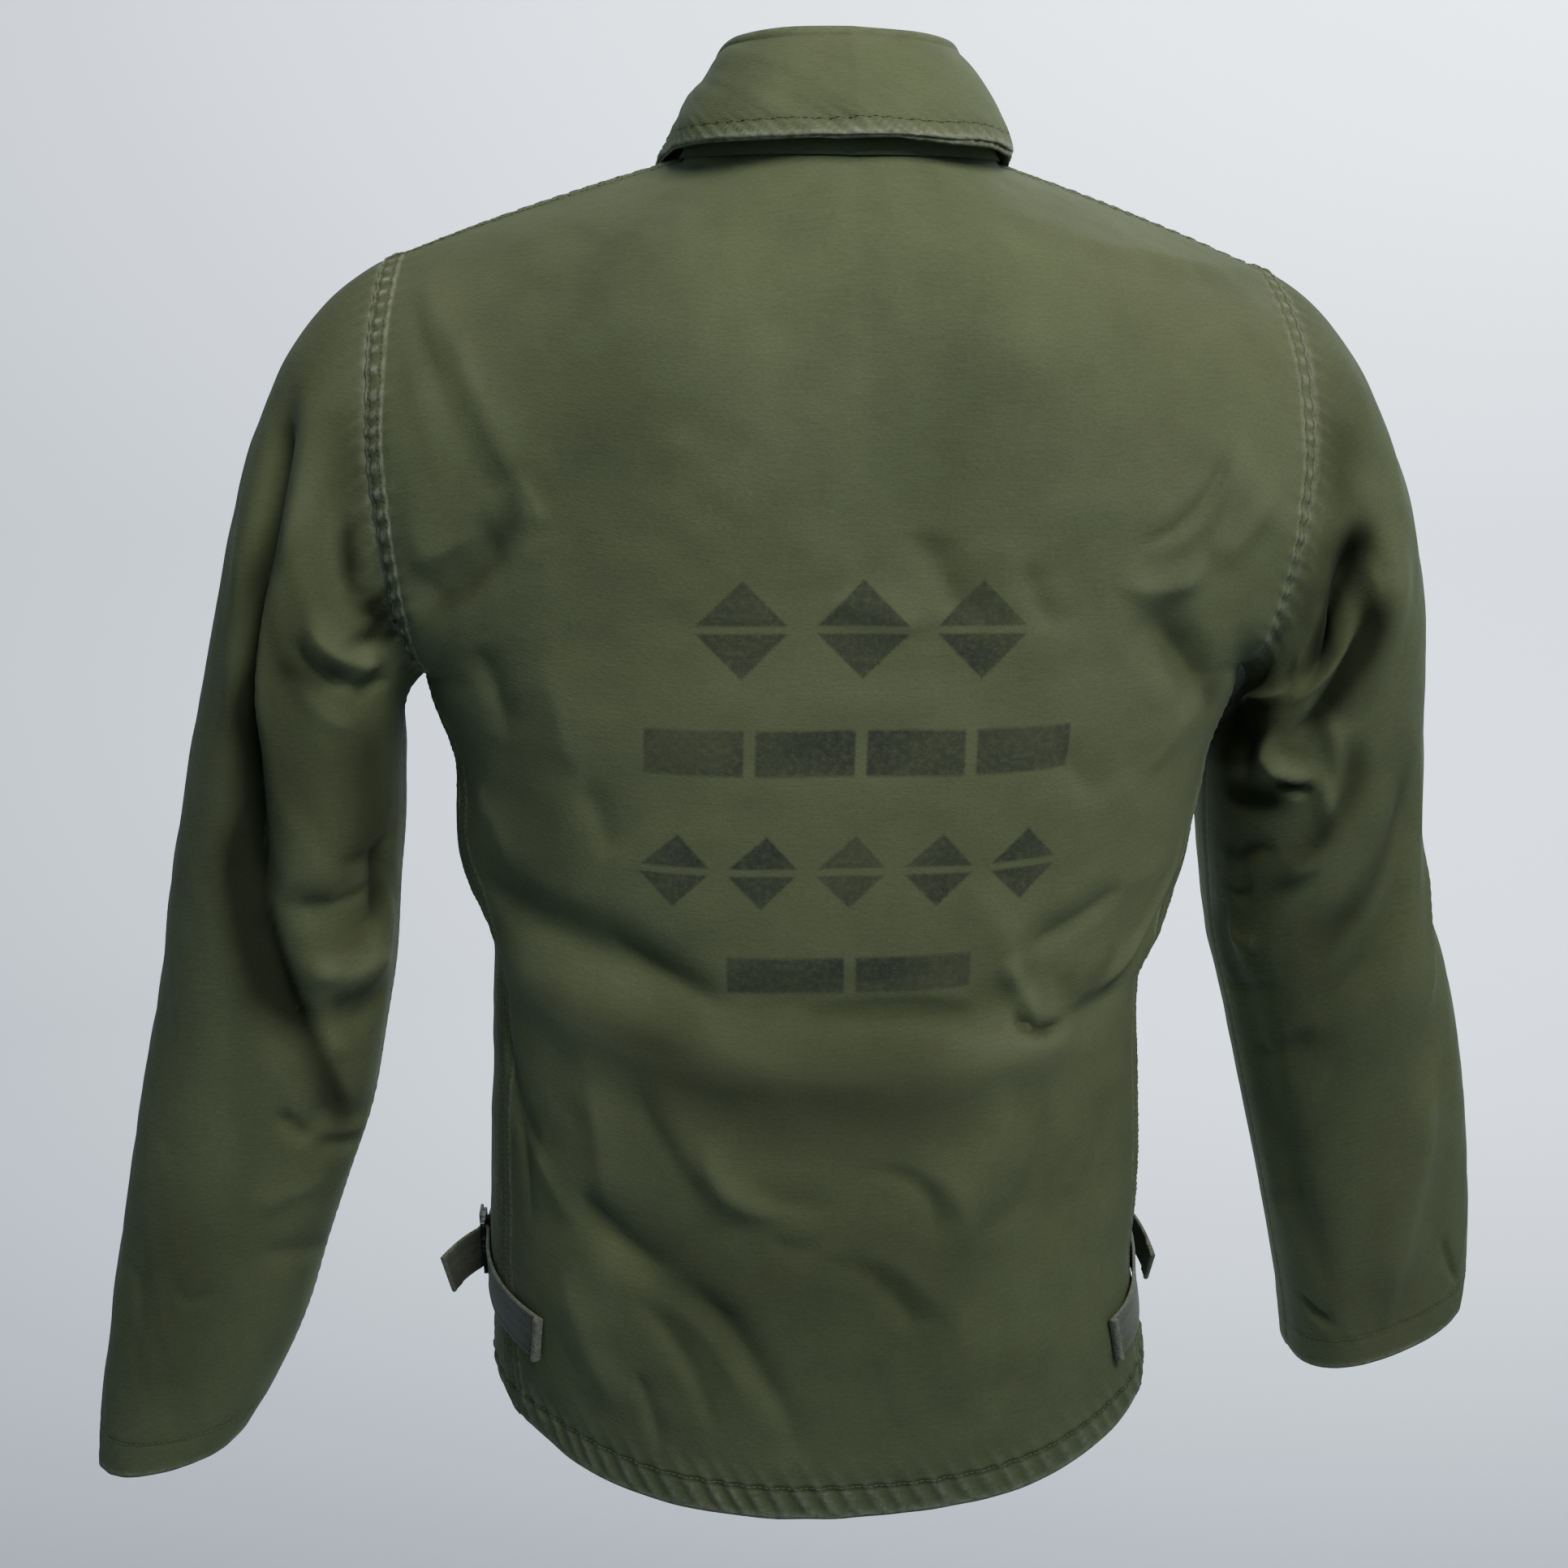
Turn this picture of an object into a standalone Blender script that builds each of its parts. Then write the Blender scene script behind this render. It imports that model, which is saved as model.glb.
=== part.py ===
"""Deck jacket, worn form seen empty: back, fronts, sleeves, collar, zip and side straps.

Frame: metres, +Z up, wearer's left is +X, the back is +Y and the front is -Y.
The origin is the centre of the neck base, where the wearer carries the jacket.
"""
import math

import bmesh
import bpy
import numpy as np
from mathutils import Matrix, Vector

# ----------------------------------------------------------------- driving sizes (metres)
WALL = 0.0018            # cloth of body and sleeves
HEM_WALL = 0.0030        # turned-up hem, two layers
PLY = 0.0012             # each layer of the collar
SEAM = 0.0003            # gap left between two pieces at a seam
HEM_DEPTH = 0.019        # height of the turned-up hem
BAND_RISE = 0.0008       # lapped armhole band above the panel
BAND_WIDTH = 0.010       # lapped armhole band across the seam

PIT_Z = -0.250           # height of the underarm point
HEM_SHIFT = -3.0         # turns the lowest point of the hem a little to the left
HEM_BACK = -0.670        # hem height at centre back
HEM_SIDE = -0.638        # hem height at the sides
HEM_FRONT = -0.645       # hem height at centre front

NECK_HALF = 0.076        # half width of the neckline
NECK_BACK = 0.082        # centre back of the neckline
NECK_FRONT = -0.088      # centre front of the neckline
NECK_MIDDLE = 0.010      # where the neckline is widest
NECK_SHARE = 0.25        # part of each half panel taken up by the neckline
SHOULDER_X = 0.222       # shoulder tip
SHOULDER_Y = -0.004
SHOULDER_Z = -0.0500
SHOULDER_SLOPE = 0.38    # fall of the shoulder seam for each metre it runs out
SEAM_ROW = 1.999         # rows of a panel above this one lie on the neckline or shoulder seam
FRONT_GAP = 0.012        # front edge to the centre line, where the zip shows

COLLAR_ROLL = 0.0052     # radius of the collar's turn at the roll line
CUFF_WALL = 0.0028       # turned-in cuff, two layers
ARM_STEPS = 12           # points along each half of an armhole, shared by panel and sleeve

HEAD_LEFT = 1.00         # how far each sleeve head stands out before it hangs
HEAD_RIGHT = 0.86
RIGHT_DROP = 0.003       # the right shoulder sits this much lower

STRAP_WIDTH = 0.025
STRAP_THICK = 0.0015
STRAP_LIFT = 0.0008      # webbing above the cloth it lies on
STRAP_FRONT_SEWN = 119.0  # sewn end of the front webbing, degrees round the body
BUCKLE_LENGTH = 0.0180
STRAP_TURN = 0.0021      # inside radius of the webbing round a buckle bar
STRAP_TAIL = 0.024       # free end of the rear webbing past its buckle bar
STRAP_RETURN = 0.010     # sewn return of the front webbing
STRAP_HEMMED = 0.0014    # extra thickness where the webbing is folded over
BUCKLE_BAR = 0.0024
BUCKLE_SIDE = 0.0024

ZIP_TAPE_THICK = 0.0010
ZIP_SINK = 0.0004        # zip tape below the face of the fronts
ZIP_CHAIN_HALF = 0.0029
ZIP_CHAIN_THICK = 0.0024
SLIDER_UP = 1.93         # place of the slider up the front, 2 is the neck
SLIDER_SIZE = (0.0098, 0.0130, 0.0062)
BAIL_RADIUS = 0.0030
BAIL_WIRE = 0.0006
PULL_LIFT = 0.0046       # hinge of the pull above the middle of the zip
PULL_WIDTH = 0.0070
PULL_LENGTH = 0.0300
PULL_THICK = 0.0014
PULL_WINDOW = 0.0048


class Table:
    """Rows of numbers under named columns, read smoothly along the first column."""

    def __init__(self, names, *rows):
        self.names = names.split()
        self.rows = np.array(rows, dtype=float)

    def column(self, name):
        return self.rows[:, self.names.index(name)]

    def at(self, name, where):
        """Value of the named column where the first column is `where` (cubic, no overshoot)."""
        key = self.rows[:, 0]
        value = self.column(name)
        where = np.clip(where, key[0], key[-1])
        step = np.diff(key)
        rate = np.diff(value) / step
        slope = np.zeros_like(value)
        slope[0] = rate[0]
        slope[-1] = rate[-1]
        same = rate[:-1] * rate[1:] > 0
        total = np.where(same, rate[:-1] + rate[1:], 1.0)
        slope[1:-1] = np.where(same, 2.0 * rate[:-1] * rate[1:] / total, 0.0)
        i = np.clip(np.searchsorted(key, where) - 1, 0, len(step) - 1)
        t = (where - key[i]) / step[i]
        return (
            value[i] * (1 + 2 * t) * (1 - t) ** 2
            + value[i + 1] * t * t * (3 - 2 * t)
            + step[i] * slope[i] * t * (1 - t) ** 2
            - step[i] * slope[i + 1] * t * t * (1 - t)
        )


# Level sections of the body, hem to underarm: half width, middle (off the centre line), reach to
# back and front, squareness, and the side seam in degrees from centre back.
BODY = Table(
    "z       half    mid     back    front   bulge  seam",
    (-0.680, 0.1735, 0.0020, 0.121, -0.124, 0.84, 68.0),
    (-0.640, 0.1775, 0.0020, 0.124, -0.127, 0.84, 68.0),
    (-0.600, 0.1800, 0.0060, 0.124, -0.127, 0.83, 68.5),
    (-0.560, 0.1790, 0.0085, 0.122, -0.126, 0.83, 69.0),
    (-0.500, 0.1765, 0.0090, 0.118, -0.123, 0.83, 70.0),
    (-0.450, 0.1735, 0.0092, 0.115, -0.121, 0.82, 71.0),
    (-0.415, 0.1725, 0.0088, 0.113, -0.121, 0.82, 71.5),
    (-0.385, 0.1780, 0.0040, 0.112, -0.122, 0.81, 72.0),
    (-0.345, 0.1920, 0.0050, 0.113, -0.125, 0.80, 74.0),
    (-0.300, 0.1955, 0.0010, 0.116, -0.129, 0.80, 77.0),
    (-0.250, 0.2095, 0.0000, 0.118, -0.131, 0.80, 80.0),
    (-0.200, 0.2120, 0.0000, 0.120, -0.131, 0.80, 82.0),
)

# Shoulder seam, neck point to tip.
SHOULDER = Table(
    "share  x       y       z",
    (0.00, NECK_HALF, 0.0100, -0.0020),
    (0.30, 0.1210, 0.0070, -0.0150),
    (0.65, 0.1720, 0.0020, -0.0315),
    (1.00, SHOULDER_X, SHOULDER_Y, SHOULDER_Z),
)

# How squarely the cloth turns over the shoulders across a half panel, and how far forward (or
# back, on the fronts) it leans as it reaches its top edge.
TURNOVER = Table(
    "share  fullness  lean_back  lean_front",
    (0.00, 1.10, 0.60, 0.45),
    (0.08, 1.20, 0.74, 0.55),
    (0.17, 1.38, 0.91, 0.78),
    (0.25, 1.50, 0.965, 0.90),
    (0.50, 1.45, 0.96, 0.95),
    (0.80, 1.20, 0.96, 0.95),
    (1.00, 1.00, 0.96, 0.95),
)

# Shape the upper panels keep until they near the neckline and shoulder seam.
TOP_BACK = Table(
    "share  x       y       z",
    (0.00, 0.0000, 0.0840, -0.0080),
    (0.12, 0.0440, 0.0760, -0.0085),
    (0.25, NECK_HALF, 0.0560, -0.0110),
    (0.50, 0.1260, 0.0220, -0.0200),
    (0.75, 0.1760, 0.0060, -0.0330),
    (1.00, SHOULDER_X, SHOULDER_Y, SHOULDER_Z),
)
TOP_FRONT = Table(
    "share  x       y       z",
    (0.00, 0.0000, -0.0880, -0.0600),
    (0.12, 0.0440, -0.0800, -0.0480),
    (0.25, NECK_HALF, -0.0560, -0.0320),
    (0.50, 0.1260, -0.0200, -0.0280),
    (0.75, 0.1760, -0.0080, -0.0360),
    (1.00, SHOULDER_X, SHOULDER_Y, SHOULDER_Z),
)

# Height of the neckline, degrees from centre back.
NECKLINE = Table(
    "turn    z",
    (0.0, -0.0080),
    (45.0, -0.0060),
    (90.0, -0.0020),
    (125.0, -0.0220),
    (155.0, -0.0480),
    (180.0, -0.0600),
)

# Level rings of the sleeves below the head; x is distance from the centre line. `rise` lifts the
# inner side of a ring above its outer side, `lead` lifts its front above its back.
SLEEVE_COLUMNS = "down   z       inner   outer   y       depth   rise    lead"
SLEEVE_LEFT = Table(
    SLEEVE_COLUMNS,
    (0.00, -0.2760, 0.2230, 0.3185, 0.0060, 0.0740, -0.0420, 0.000),
    (0.08, -0.3180, 0.2245, 0.3300, 0.0070, 0.0720, -0.0240, 0.000),
    (0.18, -0.3600, 0.2280, 0.3405, 0.0085, 0.0680, -0.0080, 0.000),
    (0.28, -0.4000, 0.2310, 0.3480, 0.0100, 0.0640, 0.0000, 0.000),
    (0.38, -0.4400, 0.2380, 0.3565, 0.0120, 0.0600, 0.0000, 0.000),
    (0.48, -0.4800, 0.2460, 0.3655, 0.0140, 0.0570, 0.0000, 0.000),
    (0.58, -0.5200, 0.2600, 0.3735, 0.0160, 0.0550, 0.0000, 0.000),
    (0.68, -0.5600, 0.2740, 0.3805, 0.0180, 0.0530, 0.0000, 0.000),
    (0.78, -0.5950, 0.2850, 0.3870, 0.0190, 0.0520, 0.0020, 0.000),
    (0.89, -0.6280, 0.2995, 0.3930, 0.0200, 0.0510, 0.0060, 0.000),
    (1.00, -0.6590, 0.3160, 0.3970, 0.0210, 0.0500, 0.0140, 0.000),
)
SLEEVE_RIGHT = Table(
    SLEEVE_COLUMNS,
    (0.00, -0.2780, 0.2060, 0.3150, -0.0120, 0.0740, -0.0540, 0.000),
    (0.08, -0.3200, 0.2090, 0.3200, -0.0180, 0.0720, -0.0400, 0.000),
    (0.18, -0.3600, 0.2140, 0.3260, -0.0230, 0.0680, -0.0280, 0.000),
    (0.28, -0.4000, 0.2200, 0.3360, -0.0260, 0.0640, -0.0240, 0.000),
    (0.38, -0.4400, 0.2310, 0.3510, -0.0280, 0.0600, -0.0240, 0.000),
    (0.48, -0.4800, 0.2415, 0.3620, -0.0300, 0.0570, -0.0260, 0.000),
    (0.58, -0.5200, 0.2525, 0.3710, -0.0320, 0.0550, -0.0300, 0.000),
    (0.68, -0.5580, 0.2625, 0.3765, -0.0335, 0.0530, -0.0340, 0.000),
    (0.78, -0.5920, 0.2710, 0.3800, -0.0350, 0.0520, -0.0380, 0.000),
    (0.89, -0.6250, 0.2785, 0.3825, -0.0360, 0.0510, -0.0410, 0.000),
    (1.00, -0.6560, 0.2835, 0.3830, -0.0370, 0.0500, -0.0440, 0.000),
)

# Large folds of the body. Ends in degrees from centre back (left is +) and height; `bow` bends the
# line sideways; `one` and `other` are how far the fold spreads to its two sides.
BODY_FOLDS = Table(
    "a0     z0      a1     z1      bow     one     other   height",
    (72.0, -0.0555, 40.0, -0.1664, 0.0015, 0.010, 0.016, 0.0060),
    (70.0, -0.0616, 46.0, -0.1650, 0.0063, 0.010, 0.012, -0.0030),
    (74.4, -0.2142, 43.2, -0.1702, 0.0026, 0.012, 0.014, -0.0050),
    (-58.6, -0.1200, -32.4, -0.1861, -0.0108, 0.014, 0.026, 0.0035),
    (-34.0, -0.2072, -52.6, -0.2723, 0.0004, 0.012, 0.020, -0.0060),
    (76.0, -0.3480, 13.3, -0.4055, -0.0077, 0.012, 0.018, -0.0065),
    (22.0, -0.4055, -34.0, -0.4175, -0.0060, 0.012, 0.018, -0.0040),
    (-70.0, -0.3376, -29.5, -0.4210, -0.0256, 0.010, 0.018, -0.0085),
    (84.0, -0.3700, -12.0, -0.4460, 0.0064, 0.019, 0.018, 0.0065),
    (10.0, -0.4460, -82.0, -0.3700, 0.0138, 0.019, 0.018, 0.0065),
    (56.4, -0.5082, 10.6, -0.6182, -0.0338, 0.014, 0.016, -0.0045),
    (29.0, -0.4395, 6.8, -0.5075, 0.0087, 0.014, 0.016, 0.0035),
    (-41.5, -0.4945, -12.4, -0.5788, 0.0005, 0.020, 0.016, -0.0030),
    (-52.0, -0.587, -132.0, -0.562, 0.0, 0.040, 0.036, -0.0070),
    (52.0, -0.632, 128.0, -0.616, 0.0, 0.018, 0.022, 0.0050),
    (104.0, -0.270, 158.0, -0.360, 0.014, 0.016, 0.020, -0.0060),
    (-104.0, -0.280, -150.0, -0.380, -0.010, 0.020, 0.016, -0.0060),
    (96.0, -0.380, 165.0, -0.410, -0.020, 0.020, 0.016, 0.0065),
    (-96.0, -0.385, -165.0, -0.420, 0.022, 0.016, 0.020, 0.0065),
    (110.0, -0.440, 150.0, -0.600, 0.012, 0.018, 0.018, -0.0045),
    (-112.0, -0.450, -148.0, -0.610, -0.012, 0.018, 0.018, -0.0045),
)

# Large folds of the sleeves. Angles: 0 back, 90 outer side, 180 front, -90 inner side.
FOLDS_LEFT = Table(
    "a0     z0      a1     z1      bow     one     other   height",
    (70.5, -0.0931, 13.5, -0.2616, -0.0102, 0.011, 0.011, -0.0070),
    (16.0, -0.2500, -32.0, -0.4490, 0.0087, 0.012, 0.011, -0.0065),
    (0.0, -0.2216, -52.5, -0.2405, 0.0086, 0.011, 0.010, 0.0060),
    (-1.0, -0.3571, -80.0, -0.3665, 0.0079, 0.011, 0.011, -0.0050),
    (-6.5, -0.3862, -84.0, -0.3932, 0.0057, 0.011, 0.011, 0.0050),
    (-9.5, -0.4120, -78.0, -0.4180, 0.0053, 0.011, 0.011, -0.0045),
    (-24.5, -0.4540, -88.0, -0.4840, 0.0114, 0.012, 0.012, -0.0045),
    (150.0, -0.300, 250.0, -0.360, 0.010, 0.014, 0.014, -0.0060),
    (140.0, -0.400, 250.0, -0.440, 0.010, 0.014, 0.014, 0.0060),
    (130.0, -0.470, 240.0, -0.500, 0.010, 0.014, 0.014, -0.0050),
)
FOLDS_RIGHT = Table(
    "a0     z0      a1     z1      bow     one     other   height",
    (22.0, -0.1600, -29.5, -0.2728, -0.0005, 0.011, 0.012, -0.0080),
    (34.0, -0.1700, -27.5, -0.2877, 0.0063, 0.011, 0.011, 0.0060),
    (-50.0, -0.2854, -14.0, -0.3150, -0.0092, 0.010, 0.010, 0.0050),
    (-88.0, -0.2868, -51.5, -0.3104, 0.0087, 0.011, 0.011, -0.0050),
    (35.5, -0.2669, -4.0, -0.4834, 0.0202, 0.012, 0.012, 0.0040),
    (24.0, -0.4710, -12.5, -0.6429, 0.0014, 0.012, 0.012, 0.0045),
    (-67.0, -0.3946, -43.0, -0.6368, -0.0114, 0.014, 0.014, -0.0040),
    (150.0, -0.310, 250.0, -0.370, 0.010, 0.014, 0.014, -0.0060),
    (140.0, -0.400, 250.0, -0.440, 0.010, 0.014, 0.014, 0.0060),
    (130.0, -0.480, 240.0, -0.510, 0.010, 0.014, 0.014, -0.0050),
)
METRES_PER_DEGREE_BODY = 0.0030
METRES_PER_DEGREE_SLEEVE = 0.0011

# Side straps: place of the buckle, rise of the strap for each metre it runs forward, sewn end of
# the rear webbing, how far the free end stands off the strap and how far it droops, in degrees.
STRAPS = Table(
    "side  turn   z        slope  sewn   lean   droop",
    (-1.0, 91.5, -0.5790, 0.16, 50.0, 8.0, 24.0),
    (1.0, 91.5, -0.5735, 0.12, 53.5, 46.0, 14.0),
)

# Colours (linear) and finish of each material.
OLIVE = (0.105, 0.115, 0.060)
OLIVE_DARK = (0.085, 0.095, 0.050)
WEBBING = (0.055, 0.062, 0.048)
METAL_DARK = (0.030, 0.031, 0.028)
METAL_BRASS = (0.230, 0.170, 0.080)


# ----------------------------------------------------------------- small helpers
def blend(low, high, value):
    """0 below `low`, 1 above `high`, smooth between."""
    t = np.clip((value - low) / (high - low), 0.0, 1.0)
    return t * t * (3 - 2 * t)


def unit(vectors):
    length = np.linalg.norm(vectors, axis=-1, keepdims=True)
    return vectors / np.maximum(length, 1e-12)


def stack(x, y, z):
    x, y, z = np.broadcast_arrays(x, y, z)
    return np.stack([x, y, z], axis=-1).astype(float)


def curve_between(start, end, leave, arrive, t):
    """Cubic from start to end with the given end tangents."""
    t = t[..., None]
    return (
        start * (1 + 2 * t) * (1 - t) ** 2
        + end * t * t * (3 - 2 * t)
        + leave * t * (1 - t) ** 2
        - arrive * t * t * (1 - t)
    )


def fold_height(folds, scale, angle, z):
    """Height of the cloth above its plain form, from a table of folds."""
    total = np.zeros(np.broadcast(angle, z).shape)
    for a0, z0, a1, z1, bow, one, other, height in folds.rows:
        run = np.array([(a1 - a0) * scale, z1 - z0])
        length = np.hypot(*run)
        run = run / length
        across = (angle - a0) * scale
        up = z - z0
        along = (across * run[0] + up * run[1]) / length
        side = up * run[0] - across * run[1] - bow * 4 * along * (1 - along)
        spread = np.where(side > 0, one, other)
        ends = blend(0.0, 0.3, along) * blend(0.0, 0.3, 1 - along)
        total += height * ends * np.exp(-(side / spread) ** 2)
    return total


# ----------------------------------------------------------------- body surface
def neckline(turn):
    """Point of the neckline, degrees from centre back (0) to centre front (180)."""
    rad = np.radians(turn)
    reach = np.where(np.cos(rad) > 0, NECK_BACK - NECK_MIDDLE, NECK_MIDDLE - NECK_FRONT)
    y = NECK_MIDDLE + reach * np.cos(rad)
    return stack(NECK_HALF * np.sin(rad), y, NECKLINE.at("z", turn))


def hem_z(angle):
    c = np.cos(np.radians(angle + HEM_SHIFT))
    back = np.maximum(c, 0) ** 2
    front = np.maximum(-c, 0) ** 2
    return HEM_SIDE + (HEM_BACK - HEM_SIDE) * back + (HEM_FRONT - HEM_SIDE) * front


def centred_section(angle, z):
    """Point of the body at a height, angle in degrees from centre back (left side is +)."""
    rad = np.radians(angle)
    power = BODY.at("bulge", z)
    s = np.sin(rad)
    c = np.cos(rad)
    x = np.sign(s) * np.abs(s) ** power * BODY.at("half", z)
    reach = np.where(c > 0, BODY.at("back", z), -BODY.at("front", z))
    return stack(x, np.sign(c) * np.abs(c) ** power * reach, z)


def level_section(angle, z):
    """The same point with the body's sideways shift at that height."""
    point = centred_section(angle, z)
    point[..., 0] += BODY.at("mid", z)
    return point


def seam_angle(z):
    return BODY.at("seam", z)


def panel_angle(share, z, front):
    """Section angle for a share of the half panel: 0 at its middle line, 1 at the side seam."""
    seam = seam_angle(z)
    if front:
        return 180.0 - share * (180.0 - seam)
    return share * seam


def upper_end(share, front):
    """Top edge of a half panel: neckline, then shoulder seam."""
    neck = np.clip(share / NECK_SHARE, 0.0, 1.0)
    turn = 180.0 - 90.0 * neck if front else 90.0 * neck
    out = np.clip((share - NECK_SHARE) / (1 - NECK_SHARE), 0.0, 1.0)
    ridge = stack(*(SHOULDER.at(name, out) for name in ("x", "y", "z")))
    return np.where((share > NECK_SHARE)[..., None], ridge, neckline(turn))


# Armhole seam of the wearer's left side. `turn`: -90 underarm, 0 back, 90 shoulder tip, 180 front.
UNDERARM = level_section(seam_angle(PIT_Z), PIT_Z)
ARMHOLE = Table(
    "turn    x       y       z",
    (-90.0, *UNDERARM),
    (-60.0, 0.2120, 0.0510, -0.2410),
    (-35.0, 0.2180, 0.0640, -0.2130),
    (-10.0, 0.2225, 0.0720, -0.1780),
    (15.0, 0.2260, 0.0700, -0.1420),
    (40.0, 0.2262, 0.0590, -0.1060),
    (65.0, 0.2245, 0.0350, -0.0720),
    (90.0, SHOULDER_X, SHOULDER_Y, SHOULDER_Z),
    (115.0, 0.2190, -0.0430, -0.0720),
    (140.0, 0.2120, -0.0660, -0.1070),
    (165.0, 0.2065, -0.0760, -0.1450),
    (190.0, 0.2050, -0.0730, -0.1840),
    (215.0, 0.2095, -0.0520, -0.2200),
    (240.0, 0.2118, -0.0130, -0.2430),
    (270.0, *UNDERARM),
)


def armhole(turn):
    turn = (np.asarray(turn, dtype=float) + 90.0) % 360.0 - 90.0
    return stack(*(ARMHOLE.at(name, turn) for name in ("x", "y", "z")))


def settled(points):
    """Lowers the wearer's right shoulder a little."""
    drop = blend(0.04, SHOULDER_X, -points[..., 0]) * blend(PIT_Z, SHOULDER_Z, points[..., 2])
    points[..., 2] -= RIGHT_DROP * drop
    return points


def smooth_top(share, front):
    """Where the columns of a half panel would end if there were no neckline."""
    table = TOP_FRONT if front else TOP_BACK
    return stack(*(table.at(name, share) for name in ("x", "y", "z")))


def armhole_wall(turn, lean):
    """Outward wall direction at the armhole seam; `lean` is 1 for a panel and -1 for a sleeve."""
    centre = np.array([0.213, 0.0, -0.150])
    radial = armhole(turn) - centre
    radial[..., 0] = 0.0
    radial = unit(radial)
    under = np.maximum(-np.sin(np.radians(turn)), 0.0) ** 2
    radial[..., 0] = lean * under
    return unit(radial)


def lean_at_edge(front):
    return TURNOVER.rows[-1, 3 if front else 2]


def half_panel(share, up, front):
    """Plain surface of a half panel. up: 0 hem, 1 underarm level, 2 shoulder. share may be < 0."""
    mirror = np.where(np.signbit(share), -1.0, 1.0)
    share = np.abs(share)
    low = np.clip(up, 0.0, 1.0)
    z = PIT_Z + 0.0 * low
    for _ in range(2):
        angle = panel_angle(share, z, front)
        z = hem_z(angle) + (PIT_Z - hem_z(angle)) * low
    lower = centred_section(panel_angle(share, z, front), z)

    t = np.clip(up - 1.0, 0.0, 1.0)
    true_end = upper_end(np.clip(share, 0.0, 1.0), front)
    late = blend(0.35, 1.0, t)[..., None]
    end = smooth_top(share, front) * (1 - late) + true_end * late
    chord = np.linalg.norm(end - lower, axis=-1) * TURNOVER.at("fullness", share)
    forward = 1.0 if front else -1.0
    leave = stack(0.0, 0.0, chord)
    lean = TURNOVER.at("lean_front" if front else "lean_back", share)
    arrive = stack(0.0, forward * lean * chord, np.sqrt(1 - lean ** 2) * chord)
    upper = curve_between(lower, end, leave, arrive, t)
    edge_turn = -90.0 + 180.0 * t
    if front:
        edge_turn = 270.0 - 180.0 * t
    edge = armhole(edge_turn)
    plain_low = centred_section(panel_angle(1.0, PIT_Z, front), np.float64(PIT_Z))
    plain_end = upper_end(np.ones(1), front)[0]
    plain_chord = np.linalg.norm(plain_end - plain_low)
    edge_lean = lean_at_edge(front)
    plain = curve_between(
        plain_low,
        plain_end,
        stack(0.0, 0.0, plain_chord),
        stack(0.0, forward * edge_lean * plain_chord, math.sqrt(1 - edge_lean ** 2) * plain_chord),
        t,
    )
    pull = (blend(0.35, 1.0, share) ** 1.6)[..., None]
    upper = upper + pull * (edge - plain)
    point = np.where((up > 1.0)[..., None], upper, lower)
    if front:
        point[..., 0] += FRONT_GAP * np.clip(1 - share * 2.2, 0.0, 1.0) ** 2
    point[..., 0] *= mirror
    point[..., 0] += BODY.at("mid", point[..., 2])
    return point


def outward(surface, a, b, step_a, step_b):
    """Unit normal of surface(a, b) by differences."""
    along_a = surface(a + step_a, b) - surface(a - step_a, b)
    along_b = surface(a, b + step_b) - surface(a, b - step_b)
    return unit(np.cross(along_a, along_b))


def body_grid(shares, ups, front, side=1.0):
    """Outer and inner points of a body panel, one row for each entry of `ups`."""
    share, up = np.meshgrid(shares, ups)
    share = share * side

    def plain(a, b):
        return half_panel(a, np.clip(b, 0.0, 2.0), front)

    normal = outward(plain, share, up, 0.002, 0.002)
    if not front:
        normal = -normal
    point = plain(share, up)
    seam = seam_angle(np.minimum(point[..., 2], PIT_Z))
    angle = share * seam
    if front:
        angle = np.sign(share + 1e-9 * side) * (180.0 - np.abs(share) * (180.0 - seam))
    above = blend(1.0, 1.12, up)
    calm = 1.0 - above * blend(0.90, 1.0, np.abs(share))
    calm = calm * (1.0 - blend(1.80, 2.0, up))
    rise = calm * fold_height(BODY_FOLDS, METRES_PER_DEGREE_BODY, angle, point[..., 2])
    band = above * blend(1 - 1.3 * BAND_WIDTH / SHOULDER_X, 1 - 0.9 * BAND_WIDTH / SHOULDER_X,
                         np.abs(share))
    rise = rise + BAND_RISE * band
    outer = point + normal * rise[..., None]

    wall = normal.copy()
    shoulder = (up > SEAM_ROW) & (np.abs(share) > NECK_SHARE - 0.001)
    ridge_dir = unit(stack(SHOULDER_SLOPE * np.sign(share), 0.0, 1.0))
    wall = np.where(shoulder[..., None], ridge_dir, wall)
    at_arm = (np.abs(share) > 0.999) & (up >= 1.0)
    turn = 270.0 - 180.0 * (up - 1) if front else -90.0 + 180.0 * (up - 1)
    arm_dir = armhole_wall(turn, 1.0)
    arm_dir[..., 0] *= np.sign(share)
    wall = np.where(at_arm[..., None], arm_dir, wall)
    thick = np.where(up < 0.05, HEM_WALL, WALL)
    return settled(outer), settled(outer - wall * thick[..., None])


# ----------------------------------------------------------------- sleeve surface
def sleeve_ring(rings, turn, down):
    """Point of the hanging part of a sleeve, before it is mirrored for the right side."""
    rad = np.radians(turn)
    s = np.sin(rad)
    c = np.cos(rad)
    out = np.sign(s) * np.abs(s) ** 0.85
    back = np.sign(c) * np.abs(c) ** 0.85
    inner = rings.at("inner", down)
    outer = rings.at("outer", down)
    x = 0.5 * (inner + outer) + 0.5 * (outer - inner) * out
    y = rings.at("y", down) + rings.at("depth", down) * back
    z = rings.at("z", down) - 0.5 * rings.at("rise", down) * out
    return stack(x, y, z - 0.5 * rings.at("lead", down) * back)


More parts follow.
